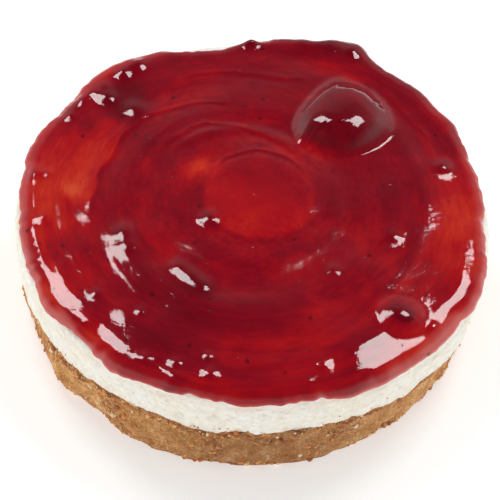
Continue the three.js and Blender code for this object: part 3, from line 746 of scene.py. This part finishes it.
def makeCreamLayer():
    cream = creamLayer
    angle = np.arange(cream["around"]) / cream["around"] * 2 * np.pi
    flat = 0 * angle
    top, gap = cream["topHeight"], cream["edgeGap"]
    rings = [(flat + 30, flat + crumbBase["height"] + gap)]
    level = crumbBase["levelShare"] * crumbBase["topRadius"]
    rings.append((flat + level, flat + crumbBase["height"] + gap))
    over = np.minimum(crustWall(angle, 1)[0], cream["footRadius"] - 0.3)
    rings.append((over, crustTopAt(over, angle) + gap))
    foot = crustTopAt(cream["footRadius"], angle) + gap
    wallStart, wallRows = len(rings), cream["rows"]
    for row in range(wallRows):
        z = mix(foot, top - cream["corner"], row / wallRows)
        x, y = cream["radius"] * np.cos(angle), cream["radius"] * np.sin(angle)
        length, depth = cream["knife"]
        spread = depth * lump(x, y, z * 2.2, length) * smooth(0, 0.12, row / wallRows)
        rings.append((creamRadiusAt(angle, top - z) + spread * (1 - smooth(0.85, 1, row / wallRows)), z))
    start = creamRadiusAt(angle, 0) - cream["corner"]
    for row in range(9):
        turn = np.pi / 2 * (1 - row / 8)
        rings.append(creamSurface(angle, start + cream["corner"] * turn, 0))
    rings.append((flat + 40, flat + top))
    rough, pink, stain, dots = (np.zeros((len(rings), cream["around"])) for _ in range(4))
    jamEdge = creamSurface(angle, rimLength(angle), 0)[1]
    middle, width, reach, amount = cream["specks"]
    speckled = amount * bell(wrap(np.degrees(angle) - middle), width)
    for row in range(wallStart, wallStart + wallRows):
        radius, z = rings[row]
        share = (row - wallStart) / wallRows
        x, y = radius * np.cos(angle), radius * np.sin(angle)
        rough[row] = smooth(0, 0.05, share) * (1 - smooth(0.9, 1, share))
        under = np.maximum(jamEdge - z, 0)
        uneven = 0.6 + 0.4 * lump(x, y, z, 6)
        tint = sum(strength * bell(under, depth) for strength, depth in cream["pinkEdge"])
        pink[row] = np.clip(uneven * tint, 0, 1)
        aboveFoot = z - foot
        specks = smooth(0.35, 0.7, lump(x, y, z + 70, 2.2)) * bell(aboveFoot, reach)
        stain[row] = speckled * specks
        dots[row] = np.clip(bell(aboveFoot, cream["dotReach"]) + 0.05, 0, 1)
    values = {"roughShare": rough, "pink": pink, "crumbed": stain, "looseShare": dots}
    return turnedMesh("cream_layer_smoothed", rings, ringValues(values))


# The topping: a film spread with a palette knife, with a rounded rim that runs over the edge.
topping = {
    "depth": 3.4, "gap": 0.3, "around": 640, "fineRows": 124, "rimRows": 16, "underRows": 8,
    "scallop": [(4.2, 0.45), (2.1, 0.3)],
    "rimReach": 1.2, "rimRound": 5.2, "rimLip": 0.25, "rimBack": 2,
    # Lobes of the rim: degrees, half width, reach.
    "lobes": [(30, 5, 2.2), (46, 9, 3.2), (69, 9, 5.4), (84, 5, 2.6), (105, 9, -3.8), (120, 4, 1),
              (134, 9, 4.2), (166, 8, 1.8), (187, 5, -0.8), (218, 6, 1.3), (241, 7, 2.3), (253, 6, 1.4),
              (273, 10, 2.1), (297, 10, 2.8), (315, 9, 2.8), (333, 7, 2.6), (343, 5, 1), (356, 8, -0.9)],
    # Knife strokes: middle, radius, half width, height, from and to in degrees.
    "strokes": [((0, 0), 80, 6, 0.8, 15, 105), ((0, 0), 79, 6, 0.6, 105, 170),
                ((0, -3), 36, 7, -0.75, 200, 480), ((-4, 0), 33, 5, -0.35, 120, 220),
                ((-5, 1), 31, 2.4, 0.4, 35, 150), ((-4, -3), 46, 4, 0.28, 190, 300),
                ((-3, 0), 54, 3, 0.35, 110, 205), ((2, 4), 55, 7, -0.45, 90, 200),
                ((0, 0), 60, 5, 0.35, 335, 430), ((0, -2), 62, 6, -0.4, 215, 300)],
    "fineStrokes": [((0, 0), 47, 1.3, 0.03, 195, 262), ((0, 0), 50.5, 1.2, 0.03, 200, 262),
                    ((-4, 2), 41, 1.6, 0.1, 100, 190), ((0, 0), 67, 1.8, 0.1, 150, 240),
                    ((3, -2), 68, 1.8, 0.1, 250, 330)],
    "strokeFade": 28, "cap": {"middle": (2, 0), "radius": 20, "height": 0.35, "inside": 5, "outside": 5},
    "unevenness": (15, 0.35), "ripple": (5, 20, 0.06), "pulp": [(3.6, 0.045), (1.7, 0.012)],
    # How the film is drawn over the pieces of strawberry, in rounds of widening and of softening, and
    # how far their crowns stand out of it.
    "climb": {"widening": 3, "softening": 85, "bare": 0.05},
    # Where the film slopes down to the rim: degrees, half width, depth at the rim, its slope outward and
    # round the cake, and how far in it ends and starts. The slope round the cake is measured at
    # shoulderRadius, and the slopes run out over shoulderBlend.
    "shoulderRadius": 80, "shoulderBlend": 15,
    "shoulders": [(307, 12, 2.6, 0.1, 0.05, 2, 11), (331, 11, 2.7, 0.12, -0.03, 1.5, 7),
                  (218, 6, 2.6, 0.11, 0, 2.5, 8.5), (236, 6, 2.7, 0.11, -0.04, 3, 7.5)],
    # Bits of fruit under the film: x, y, half width, height.
    "fruit": [(-5, 79, 2.9, 2.6), (35, 77, 4, 1.6), (26, 80, 5, 1.2), (16, 81, 5, 1.2), (-57, 44, 3.5, 1.2),
              (-46, 39, 4.2, 1), (-15, -12, 3.5, 0.9), (-43.5, -20, 3.8, 0.9), (-41.5, -26, 3.8, 0.7),
              (-23.6, -33.5, 3.4, 0.9), (-19.6, -37, 3.4, 0.9), (-15.6, -40.5, 3.4, 0.8),
              (-40, -53, 4.2, 0.35), (67.5, 18.5, 3.2, 1.2), (49, -15, 3.2, 0.5), (28, -31, 2.6, 0.5),
              (-22, -80, 3.9, 1.2)],
    # Smaller bits, too small for the solid part: x, y, half width, height.
    "smallFruit": [(-66, 41.5, 2.5, 0.6), (-62, 45.5, 2.5, 0.6), (-58.5, 49.5, 2.5, 0.6),
                   (-52.5, 57.5, 3.2, 1.1), (-47.3, 62.3, 3.6, 1.2), (-69.5, 33, 2.0, 0.5),
                   (-78, 3.5, 2.8, 0.9), (-73, 4, 1.8, 0.45), (-71.8, -16, 1.9, 0.5), (-50, -47, 2.0, 0.45),
                   (-34.5, -53, 1.6, 0.35), (-31.4, -71.4, 2.6, 0.6), (-21.5, -72, 1.8, 0.4),
                   (-10.3, -75.3, 2.4, 0.55), (-11.5, -68.5, 1.6, 0.35), (25.1, -69.4, 2.4, 0.5),
                   (61, -52, 2.0, 0.4)],
    # Shallow dips: x, y, half width, depth.
    "dips": [(-63, -20, 9, 0.5), (64, -32, 9, 0.25), (53, -33, 8, 0.3), (47, -24, 7, 0.45),
             (-29, -44, 7, 0.35), (-51, -38, 7, 0.25), (24, -8, 5, 0.2), (57, -2, 6, 0.25)],
    # Folds where one sweep of the knife laid over another: points, height, width, tone left of the line.
    "folds": [([(-56, -14), (-56, 4), (-52, 15), (-49, 26), (-44, 33)], 0.13, 0.9, -0.26),
              ([(-46, 30), (-40, 37), (-31, 42), (-20, 45), (-6, 45)], 0.12, 0.9, 0.0),
              ([(-38, 12), (-33, 23), (-26, 30), (-18, 34), (-6, 33), (6, 29), (14, 22), (19, 12)],
               0.13, 1.0, 0.0),
              ([(-15, 9), (-11, 17), (-3, 21), (8, 21), (16, 15), (20, 6)], 0.1, 0.8, -0.08),
              ([(-52, -14), (-48, -28), (-38, -43), (-27, -49), (-12, -52), (4, -52), (20, -48)],
               0.03, 0.9, 0.0),
              ([(-72, -36), (-62, -52), (-48, -64), (-30, -73)], 0.1, 0.9, 0.0),
              ([(-30, 60), (-10, 63), (8, 60), (18, 62)], 0.1, 1.2, 0.0),
              ([(44, 60), (54, 48), (62, 34), (66, 20)], 0.1, 1.4, 0.0)],
    # Where the jelly is thin and bright (minus) or thick and dark: x, y, half widths, turn, amount.
    "clearings": [(-20, 11, 6, 5, 20, -0.50), (-70, -4, 13, 26, 6, -0.30), (-57, 57, 20, 8, 45, -0.3),
                  (71, -12, 10, 26, 4, -0.36), (60, -56, 10, 14, 45, -0.16), (-60, -44, 9, 9, 30, -0.16),
                  (32, 8, 14, 18, -12, 0.16), (10, 34, 16, 6, -15, 0.14), (-18, -42, 24, 6, 8, 0.14),
                  (-28, -62, 17, 7, 22, 0.16), (15, -66, 22, 9, 0, -0.12), (46, -40, 14, 12, 0, -0.12),
                  (-50, 44, 8, 13, 0, 0.36), (-12, 60, 30, 9, 0, 0.06),
                  (30, 67, 14, 7, -20, -0.2), (26, -54, 10, 8, 0, -0.18)],
    # The tone of the raised middle, and the y where it is weakest and where it is full.
    "capTone": (-0.25, 12, -8),
    # Where the rim is a wide pale lip: degrees, half width, reach.
    "paleLip": [(320, 15, 3.0), (345, 12, 1.4), (12, 16, 1.0), (298, 10, 1.6), (60, 14, 1.8),
                (205, 12, 1.2), (221, 6, 2.2), (239, 4, 2.0)],
    "lipShare": 0.72,
    "roughness": (0.045, 0.09), "depthGlow": 0.75, "glowReach": 3.0,
    "cloudSize": 14, "cloud": 0.07, "streak": (1.6, 6.5, 0.07),
    "speck": (6.5, 0.8, 0.3), "speckColour": "#4b0410",
    "wrinkle": (1.5, 8, 0.02), "wrinkleDepth": 1.2, "bumpSize": 1.5, "bump": 0.07, "bumpDepth": 0.5,
    # How dark the jelly is, from 0 to 1, and what changes it; along the folds it is lightened as a painted
    # sheen.
    "darkness": {"usual": 0.64, "perMillimetre": 0.16, "swirl": 0.08, "foldSheen": 0.10, "rim": 0.12,
                 "rimWidth": 7, "overFruit": 0.84},
    "reds": [(0.05, "#d2502e"), (0.22, "#c42a1c"), (0.42, "#ad0e18"), (0.62, "#8b051a"), (0.9, "#6e0214")],
    "lipColour": "#c8655f",
}

# The two pieces of strawberry. Bulges: toward, share of growth, spread in radians.
strawberryPieces = {
    "strawberry_piece_large": {
        "at": (31.5, 38, 42.2), "half": (13.4, 12.2, 6.2), "floor": -3, "turn": 0, "fineness": 6,
        "bulges": [((-1, -0.25, 0.25), 0.24, 0.45), ((0.1, 1, 0.25), 0.42, 0.7),
                   ((1, 0.05, 0.3), 0.14, 0.4), ((0.1, -1, 0.3), 0.1, 0.35),
                   ((-0.3, 0.4, 0.9), -0.1, 0.35)],
    },
    "strawberry_piece_small": {
        "at": (50.6, -48.6, 41.2), "half": (5, 4, 3.1), "floor": -1.8, "turn": -30, "fineness": 5,
        "bulges": [((-1, 0.2, 0.3), 0.22, 0.6), ((0.7, -0.6, 0.2), 0.14, 0.5)],
    },
}
# Unevenness of a piece's skin, as shares of its size: how wide, how deep.
pieceSkin = (0.4, 0.035)


def rimLength(angle):
    reach = creamRadiusAt(angle, 0) - creamLayer["corner"] + topping["rimReach"]
    for degrees, width, more in topping["lobes"]:
        reach = reach + more * bell(wrap(np.degrees(angle) - degrees), width)
    return reach


def strokeHeight(x, y, stroke):
    (middleX, middleY), radius, width, height, start, end = stroke
    across, up = x - middleX, y - middleY
    off = np.abs(wrap(np.degrees(np.arctan2(up, across)) - (start + end) / 2))
    half = (end - start) / 2
    fade = 1 - smooth(half - topping["strokeFade"], half, off)
    return height * bell(np.hypot(across, up) - radius, width) * fade


# How far each point is from the centre of the raised middle, whose outline wanders a little.
def fromCapAt(x, y):
    middleX, middleY = topping["cap"]["middle"]
    return np.hypot(x - middleX, y - middleY) + 1.2 * lump(x, y, 5, 11)


def jamDepthAt(x, y):
    length, height = topping["unevenness"]
    total = topping["depth"] + height * lump(x, y, 10, length)
    for stroke in topping["strokes"]:
        total = total + strokeHeight(x, y, stroke)
    cap = topping["cap"]
    start, end = cap["radius"] - cap["inside"], cap["radius"] + cap["outside"]
    total = total + cap["height"] * (1 - smooth(start, end, fromCapAt(x, y)))
    for fruitX, fruitY, width, height in topping["fruit"]:
        total = total + height * bell(np.hypot(x - fruitX, y - fruitY), width)
    angle = np.arctan2(y, x)
    inward = rimLength(angle) - np.hypot(x, y)
    for degrees, width, low, outward, around, near, far in topping["shoulders"]:
        off = wrap(np.degrees(angle) - degrees)
        ramp = low + outward * np.clip(inward - near, 0, far - near)
        ramp = ramp - around * np.radians(off) * topping["shoulderRadius"]
        runOut = 1 - smooth(far, far + topping["shoulderBlend"], inward)
        total = mix(total, ramp, np.exp(-(off / width) ** 4) * runOut)
    return total


# How far each point is from a drawn line, on which side of it, and how near the line's ends.
def alongLine(x, y, points):
    spots = []
    padded = [points[0]] + list(points) + [points[-1]]
    for before, start, end, after in zip(padded, padded[1:], padded[2:], padded[3:]):
        before, start, end, after = (np.array(spot, float) for spot in (before, start, end, after))
        for share in np.linspace(0, 1, 9)[:-1]:
            bend = (2 * before - 5 * start + 4 * end - after) * share ** 2
            twist = (3 * start - before - 3 * end + after) * share ** 3
            spots.append(0.5 * (2 * start + (end - before) * share + bend + twist))
    spots = np.array(spots)
    nearest = np.full(np.shape(x), 1e9)
    side = np.zeros(np.shape(x))
    place = np.zeros(np.shape(x))
    for number, (start, end) in enumerate(zip(spots, spots[1:])):
        step = end - start
        share = np.clip(((x - start[0]) * step[0] + (y - start[1]) * step[1]) / (step @ step), 0, 1)
        across, up = x - start[0] - share * step[0], y - start[1] - share * step[1]
        distance = np.hypot(across, up)
        closer = distance < nearest
        nearest = np.where(closer, distance, nearest)
        side = np.where(closer, np.sign(step[0] * up - step[1] * across), side)
        place = np.where(closer, (number + share) / (len(spots) - 1), place)
    return nearest * side, smooth(0, 0.2, place) * (1 - smooth(0.8, 1, place))


def foldsAt(x, y):
    height, tone, line = 0 * x, 0 * x, 0 * x
    wander = 0.9 * lump(x, y, 21, 7)
    for points, rise, width, sideTone in topping["folds"]:
        away, fade = alongLine(x, y, points)
        away = away + wander
        height = height + rise * fade * (bell(away, width) - 0.6 * bell(away + 2.2 * width, 1.6 * width))
        # Painted sheen: a light line along each fold.
        line = line + fade * bell(away, 0.55 * width)
        tone = tone + sideTone * fade * smooth(-1.2, 0.6, away) * bell(np.maximum(away, 0), 14)
    return height, tone, line


def fineDepthAt(x, y):
    total = sum(strokeHeight(x, y, stroke) for stroke in topping["fineStrokes"])
    across, along, height = topping["ripple"]
    total = total + height * streak(x, y, 7, across, along) * smooth(6, 24, np.hypot(x, y))
    for size, height in topping["pulp"]:
        total = total + height * lump(x, y, 63, size)
    for fruitX, fruitY, width, height in topping["smallFruit"]:
        total = total + height * bell(np.hypot(x - fruitX, y - fruitY), width)
    for dipX, dipY, width, depth in topping["dips"]:
        total = total - depth * bell(np.hypot(x - dipX, y - dipY), width)
    return total + foldsAt(x, y)[0]


def clearingAt(x, y):
    total = 0 * x
    for middleX, middleY, wide, deep, turn, amount in topping["clearings"]:
        bend = np.radians(turn)
        across = (x - middleX) * np.cos(bend) + (y - middleY) * np.sin(bend)
        up = (y - middleY) * np.cos(bend) - (x - middleX) * np.sin(bend)
        wave = 0.25 * lump(x, y, 60, 9)
        total = total + amount * np.exp(-np.maximum((across / wide) ** 2 + (up / deep) ** 2 + wave, 0))
    cap, (amount, high, low) = topping["cap"], topping["capTone"]
    inCap = 1 - smooth(cap["radius"] - 2, cap["radius"] + 1, fromCapAt(x, y))
    return total + amount * inCap * (0.55 + 0.45 * smooth(high, low, y))


# The values of the points round each point of a grid.
def neighbours(grid):
    return [np.roll(grid, 1, 1), np.roll(grid, -1, 1), np.roll(grid, 1, 0), np.roll(grid, -1, 0)]


# How far the film is lifted where it is drawn smoothly over the pieces of strawberry, one row of
# points for each ring.
def liftOver(rings, angle):
    film = topping["climb"]
    lift = np.zeros((len(rings), len(angle)))
    for row, (radius, height) in enumerate(rings):
        for piece, tree in pieceTrees:
            x, y = radius * np.cos(angle), radius * np.sin(angle)
            near = np.hypot(x - piece["at"][0], y - piece["at"][1]) < max(piece["half"]) * 1.5
            for spot in np.flatnonzero(near):
                hit = tree.ray_cast(Vector((x[spot], y[spot], 90)), Vector((0, 0, -1)))[0]
                if hit is not None:
                    lift[row, spot] = max(lift[row, spot], hit.z - height[spot])
    for step in range(film["widening"]):
        lift = np.maximum(lift, np.max(neighbours(lift), 0))
    for step in range(film["softening"]):
        lift = 0.5 * lift + 0.125 * sum(neighbours(lift))
    return lift * smooth(0, 0.8, lift)


def makeTopping():
    top = topping
    angle = np.arange(top["around"]) / top["around"] * 2 * np.pi
    length, wall = rimLength(angle), creamLayer["radius"]
    for size, reach in top["scallop"]:
        length = length + reach * lump(wall * np.cos(angle), wall * np.sin(angle), 17, size)
    rimStart = length - top["rimRound"]
    rings, marks = [], []
    cornerStart = creamRadiusAt(angle, 0) - creamLayer["corner"]
    back = np.minimum(cornerStart, length - top["rimBack"])
    rings.append((0 * angle + 30, 0 * angle + creamLayer["topHeight"] + top["gap"]))
    marks.append((1 + 0 * angle, 0 * angle))
    for row in range(top["underRows"]):
        along = mix(back, length - top["rimLip"], row / (top["underRows"] - 1))
        rings.append(creamSurface(angle, along, top["gap"]))
        marks.append((top["depth"] - 1.5 + 0 * angle, length - along))
    for row in range(top["rimRows"], -1, -1):
        inward = math.sin(row / top["rimRows"] * math.pi / 2)
        along = rimStart + top["rimRound"] * inward
        x, y = along * np.cos(angle), along * np.sin(angle)
        full = jamDepthAt(x, y) + fineDepthAt(x, y)
        rise = top["gap"] + top["rimLip"] + (full - top["rimLip"]) * math.sqrt(max(1 - inward ** 2, 0))
        rings.append(creamSurface(angle, along, rise))
        marks.append((mix(rise - top["gap"], full, 0.75), length - along))
    for row in range(top["fineRows"] - 1, 0, -1):
        along = rimStart * row / top["fineRows"]
        x, y = along * np.cos(angle), along * np.sin(angle)
        rise = top["gap"] + jamDepthAt(x, y) + fineDepthAt(x, y)
        rings.append(creamSurface(angle, along, rise))
        marks.append((rise - top["gap"], length - along))
    upper = len(rings) - top["fineRows"] + 1
    lift = liftOver(rings[upper:], angle)
    rings[upper:] = [(radius, height + more) for (radius, height), more in zip(rings[upper:], lift)]
    thick, lip, seeds, satin = (np.zeros((len(rings), top["around"])) for _ in range(4))
    degrees, dark = np.degrees(angle), top["darkness"]
    reach = 0.35 + 0 * angle
    for middle, width, more in top["paleLip"]:
        reach = reach + more * bell(wrap(degrees - middle), width)
    for row, (rise, toEdge) in enumerate(marks):
        radius = rings[row][0]
        x, y = radius * np.cos(angle), radius * np.sin(angle)
        swirl = streak(x, y, 30, 3.2, 26) * smooth(4, 22, radius)
        folds = foldsAt(x, y)
        deep = dark["usual"] + dark["perMillimetre"] * (rise - top["depth"]) + clearingAt(x, y)
        deep = deep + dark["swirl"] * swirl
        # The jelly is lightened along the fold lines as a painted sheen.
        deep = deep + folds[1] - dark["foldSheen"] * folds[2] - dark["rim"] * bell(toEdge, dark["rimWidth"])
        thick[row] = np.clip(deep, 0, 1)
        wave = 0.35 * lump(x, y, 44, 4)
        lip[row] = top["lipShare"] * (1 - smooth(0.35, 1.25, toEdge / reach + wave))
        sweep = streak(x, y, 52, 6, 34) + 0.5 * lump(x, y, 81, 9)
        sweep = sweep - 2.5 * np.maximum(clearingAt(x, y), 0)
        satin[row] = smooth(10, 22, toEdge) * smooth(-0.35, 0.3, sweep)
        seeds[row] = smooth(3, 8, toEdge) * (0.35 + 0.65 * smooth(-0.2, 0.5, lump(x, y, 77, 18)))
    satin[upper:] *= 1 - smooth(0.05, 0.4, lift)
    thick[upper:] = mix(thick[upper:], dark["overFruit"], smooth(0.4, 3, lift))
    values = {"thick": thick, "lip": lip, "seedShare": seeds, "satin": satin}
    return turnedMesh("topping", rings, ringValues(values))


def pieceShape(piece):
    ball = bmesh.new()
    bmesh.ops.create_icosphere(ball, subdivisions=piece["fineness"], radius=1)
    ball.verts.ensure_lookup_table()
    spots = np.array([vertex.co[:] for vertex in ball.verts])
    faces = [[vertex.index for vertex in face.verts] for face in ball.faces]
    ball.free()
    spots /= np.linalg.norm(spots, axis=1)[:, None]
    reach = np.ones(len(spots))
    for toward, grow, spread in piece["bulges"]:
        way = np.array(toward) / np.linalg.norm(toward)
        reach += grow * bell(np.arccos(np.clip(spots @ way, -1, 1)), spread)
    reach += pieceSkin[1] * lump(spots[:, 0], spots[:, 1], spots[:, 2], pieceSkin[0])
    body = spots * np.array(piece["half"]) * reach[:, None]
    body[:, 2] = np.maximum(body[:, 2], piece["floor"])
    turn = math.radians(piece["turn"])
    x = body[:, 0] * math.cos(turn) - body[:, 1] * math.sin(turn)
    y = body[:, 0] * math.sin(turn) + body[:, 1] * math.cos(turn)
    return np.clip(np.stack([x, y, body[:, 2]], 1) + np.array(piece["at"]), boxLow, boxHigh), faces, spots


# The upper side of a piece follows the film that was drawn over it, with its crown just bare.
def makeStrawberryPiece(name, jelly, film):
    points, faces, spots = pieceShape(strawberryPieces[name])
    bare = topping["climb"]["bare"]
    for spot in np.flatnonzero(spots[:, 2] > 0.04):
        hit = film.ray_cast(Vector((points[spot, 0], points[spot, 1], 90)), Vector((0, 0, -1)))[0]
        up = spots[spot, 2]
        onFilm = hit.z + bare * mix(-1, 1, smooth(0.25, 0.95, up))
        points[spot, 2] = mix(points[spot, 2], onFilm, smooth(0.04, 0.2, up))
    points = np.minimum(points, boxHigh)
    mottle = lump(points[:, 0], points[:, 1], points[:, 2], 5)
    thick = np.clip(topping["darkness"]["overFruit"] + 0.08 * mottle, 0, 1)
    made = newPiece("glazed_" + name, points, faces, {"thick": thick, "lip": 0 * thick, "satin": 0 * thick,
                                                       "seedShare": smooth(-0.1, 0.3, spots[:, 2])})
    made.data.materials.append(jelly)
    return made


pieceTrees = []
for piece in strawberryPieces.values():
    points, faces, spots = pieceShape(piece)
    pieceTrees.append((piece, BVHTree.FromPolygons(points.tolist(), faces)))

print("cream layer")
creamPiece = makeCreamLayer()
runTree(creamPiece, relief, "smoothed_cream_layer", {
    "Lump Size": creamLayer["lump"][0] * mm, "Lump Depth": creamLayer["lump"][1] * mm,
    "Grain Size": creamLayer["grain"][0] * mm, "Grain Depth": creamLayer["grain"][1] * mm,
    "Pit Size": creamLayer["pit"][0] * mm, "Pit Depth": creamLayer["pit"][1] * mm,
    "Pit Share": creamLayer["pit"][2], "Shift": (0.3, 0.1, 0.2), "Material": creamCheese(creamLayer),
})
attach(creamPiece, "root")
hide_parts("cream_layer")
strewCrumbs(creamPiece, "onCream", crumbSkin)

print("strawberry topping")
jelly = strawberryJelly(topping)
jamPiece = makeTopping()
jamPiece.data.materials.append(jelly)
jamPiece.name = "swirled_topping"
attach(jamPiece, "root")
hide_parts("strawberry_topping")

print("pieces of strawberry")
filmTree = BVHTree.FromPolygons([vertex.co / mm for vertex in jamPiece.data.vertices],
                                [list(face.vertices) for face in jamPiece.data.polygons])
for name in strawberryPieces:
    fruitPiece = makeStrawberryPiece(name, jelly, filmTree)
    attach(fruitPiece, "root")
    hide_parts(name)

# Seeds in the topping, most of them where the pulp is.
seedLook = {
    "perSquareMetre": 6000, "smallest": 0.7, "largest": 1.3, "proportions": (0.62, 1.0, 0.42),
    "seed": 12, "tones": [(0.0, "#3f0410"), (0.75, "#6d0c16"), (1.0, "#a8502c")],
}
print("seeds")
seedStuff = seedSkin(seedLook)
seedBits = runTree(jamPiece, strewn, "strawberry_seeds", {
    "Share": "seedShare", "Density": float(seedLook["perSquareMetre"]),
    "Smallest": seedLook["smallest"] * mm, "Largest": seedLook["largest"] * mm, "Fineness": 1.0,
    "Proportions": seedLook["proportions"],
    "Unevenness": 0.15, "Lie Flat": 1.0, "Sink": 0.12, "Seed": seedLook["seed"], "Roundness": 2,
    "Material": seedStuff,
}, keep=True)
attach(seedBits, "root")


# The studio: a bright pale table, a pale room that is darker overhead and behind, and soft boxes.
studio = {
    "tableColour": "#e4e4e2", "tableGlow": 0.45, "tableSize": 6.0,
    # How bright the room is by the sine of the height angle, how much more it is at the sides, most at
    # the left, and what share of that is left behind the cake.
    "room": [(0.0, 0.76), (0.48, 0.72), (0.60, 0.46), (0.68, 0.27), (0.78, 0.13), (0.9, 0.06)],
    "sides": 1.25, "leftward": 0.16, "behind": 0.5,
    # Soft boxes: place, size, watts.
    "boxes": [((0.37, 0.49, 0.98), (0.34, 0.30), 4.2), ((-0.36, 0.48, 0.99), (0.30, 0.30), 3.7)],
    "focalLength": 89.07, "cameraAt": (0.0, -0.28802, 0.36824),
    "pitch": 0.89261, "yaw": -0.00077, "roll": 0.05885,
}


def makeTable():
    half = studio["tableSize"] / 2
    corners = [(-half, -half, 0), (half, -half, 0), (half, half, 0), (-half, half, 0)]
    mesh = bpy.data.meshes.new("table")
    mesh.from_pydata(corners, [], [(0, 1, 2, 3)])
    table = bpy.data.objects.new("table", mesh)
    bpy.context.scene.collection.objects.link(table)
    material, tree = newMaterial("paleMattTable")
    shader = addNode(tree, "ShaderNodeBsdfPrincipled", {
        "Base Color": linear(studio["tableColour"]), "Roughness": 0.9, "Specular IOR Level": 0.0,
        "Emission Color": (1, 1, 1, 1), "Emission Strength": studio["tableGlow"],
    })
    addNode(tree, "ShaderNodeOutputMaterial", {0: shader.outputs[0]})
    mesh.materials.append(material)


def makeRoom():
    world = bpy.data.worlds.new("studioRoom")
    bpy.context.scene.world = world
    world.use_nodes = True
    tree = world.node_tree
    tree.nodes.clear()
    way = addNode(tree, "ShaderNodeTexCoord").outputs["Generated"]
    parts = addNode(tree, "ShaderNodeSeparateXYZ", {0: way})
    fade = addNode(tree, "ShaderNodeValToRGB", {0: parts.outputs[2]})
    for number, (height, bright) in enumerate(studio["room"]):
        stop = fade.color_ramp.elements[number] if number < 2 else fade.color_ramp.elements.new(height)
        stop.position = height
        stop.color = (bright, bright, bright, 1)
    lean = addNode(tree, "ShaderNodeMath",
                   {0: parts.outputs[0], 1: studio["sides"], 2: -studio["leftward"]},
                   operation="MULTIPLY_ADD")
    more = addNode(tree, "ShaderNodeMath", {0: lean.outputs[0], 1: parts.outputs[0], 2: 1.0},
                   operation="MULTIPLY_ADD")
    behind = addNode(tree, "ShaderNodeMapRange", {"Value": parts.outputs[1], "From Min": 0.5,
                                                  "From Max": 0.9, "To Min": 1.0,
                                                  "To Max": studio["behind"]})
    strength = addNode(tree, "ShaderNodeMath", {0: more.outputs[0], 1: behind.outputs[0]},
                       operation="MULTIPLY")
    light = addNode(tree, "ShaderNodeBackground",
                    {"Color": fade.outputs[0], "Strength": strength.outputs[0]})
    addNode(tree, "ShaderNodeOutputWorld", {0: light.outputs[0]})


def makeSoftBoxes():
    for number, (place, size, watts) in enumerate(studio["boxes"]):
        lamp = bpy.data.lights.new(f"softBox{number + 1}", "AREA")
        lamp.shape = "RECTANGLE"
        lamp.size, lamp.size_y = size
        lamp.energy = watts
        holder = bpy.data.objects.new(lamp.name, lamp)
        holder.location = place
        holder.rotation_euler = (Vector((0, 0, 0.04)) - Vector(place)).to_track_quat("-Z", "Y").to_euler()
        bpy.context.scene.collection.objects.link(holder)


def makeCamera():
    lens = bpy.data.cameras.new("camera")
    lens.lens = studio["focalLength"]
    lens.sensor_width = 36
    camera = bpy.data.objects.new("camera", lens)
    pitch, yaw, roll = studio["pitch"], studio["yaw"], studio["roll"]
    ahead = Vector((math.sin(yaw) * math.cos(pitch), math.cos(yaw) * math.cos(pitch), -math.sin(pitch)))
    right = ahead.cross(Vector((0, 0, 1))).normalized()
    up = right.cross(ahead)
    side = right * math.cos(roll) + up * math.sin(roll)
    top = up * math.cos(roll) - right * math.sin(roll)
    turned = Matrix((side, top, -ahead)).transposed().to_4x4()
    camera.matrix_world = Matrix.Translation(studio["cameraAt"]) @ turned
    bpy.context.scene.collection.objects.link(camera)
    bpy.context.scene.camera = camera


print("studio")
makeTable()
makeRoom()
makeSoftBoxes()
makeCamera()
bpy.context.scene.view_settings.view_transform = "Standard"
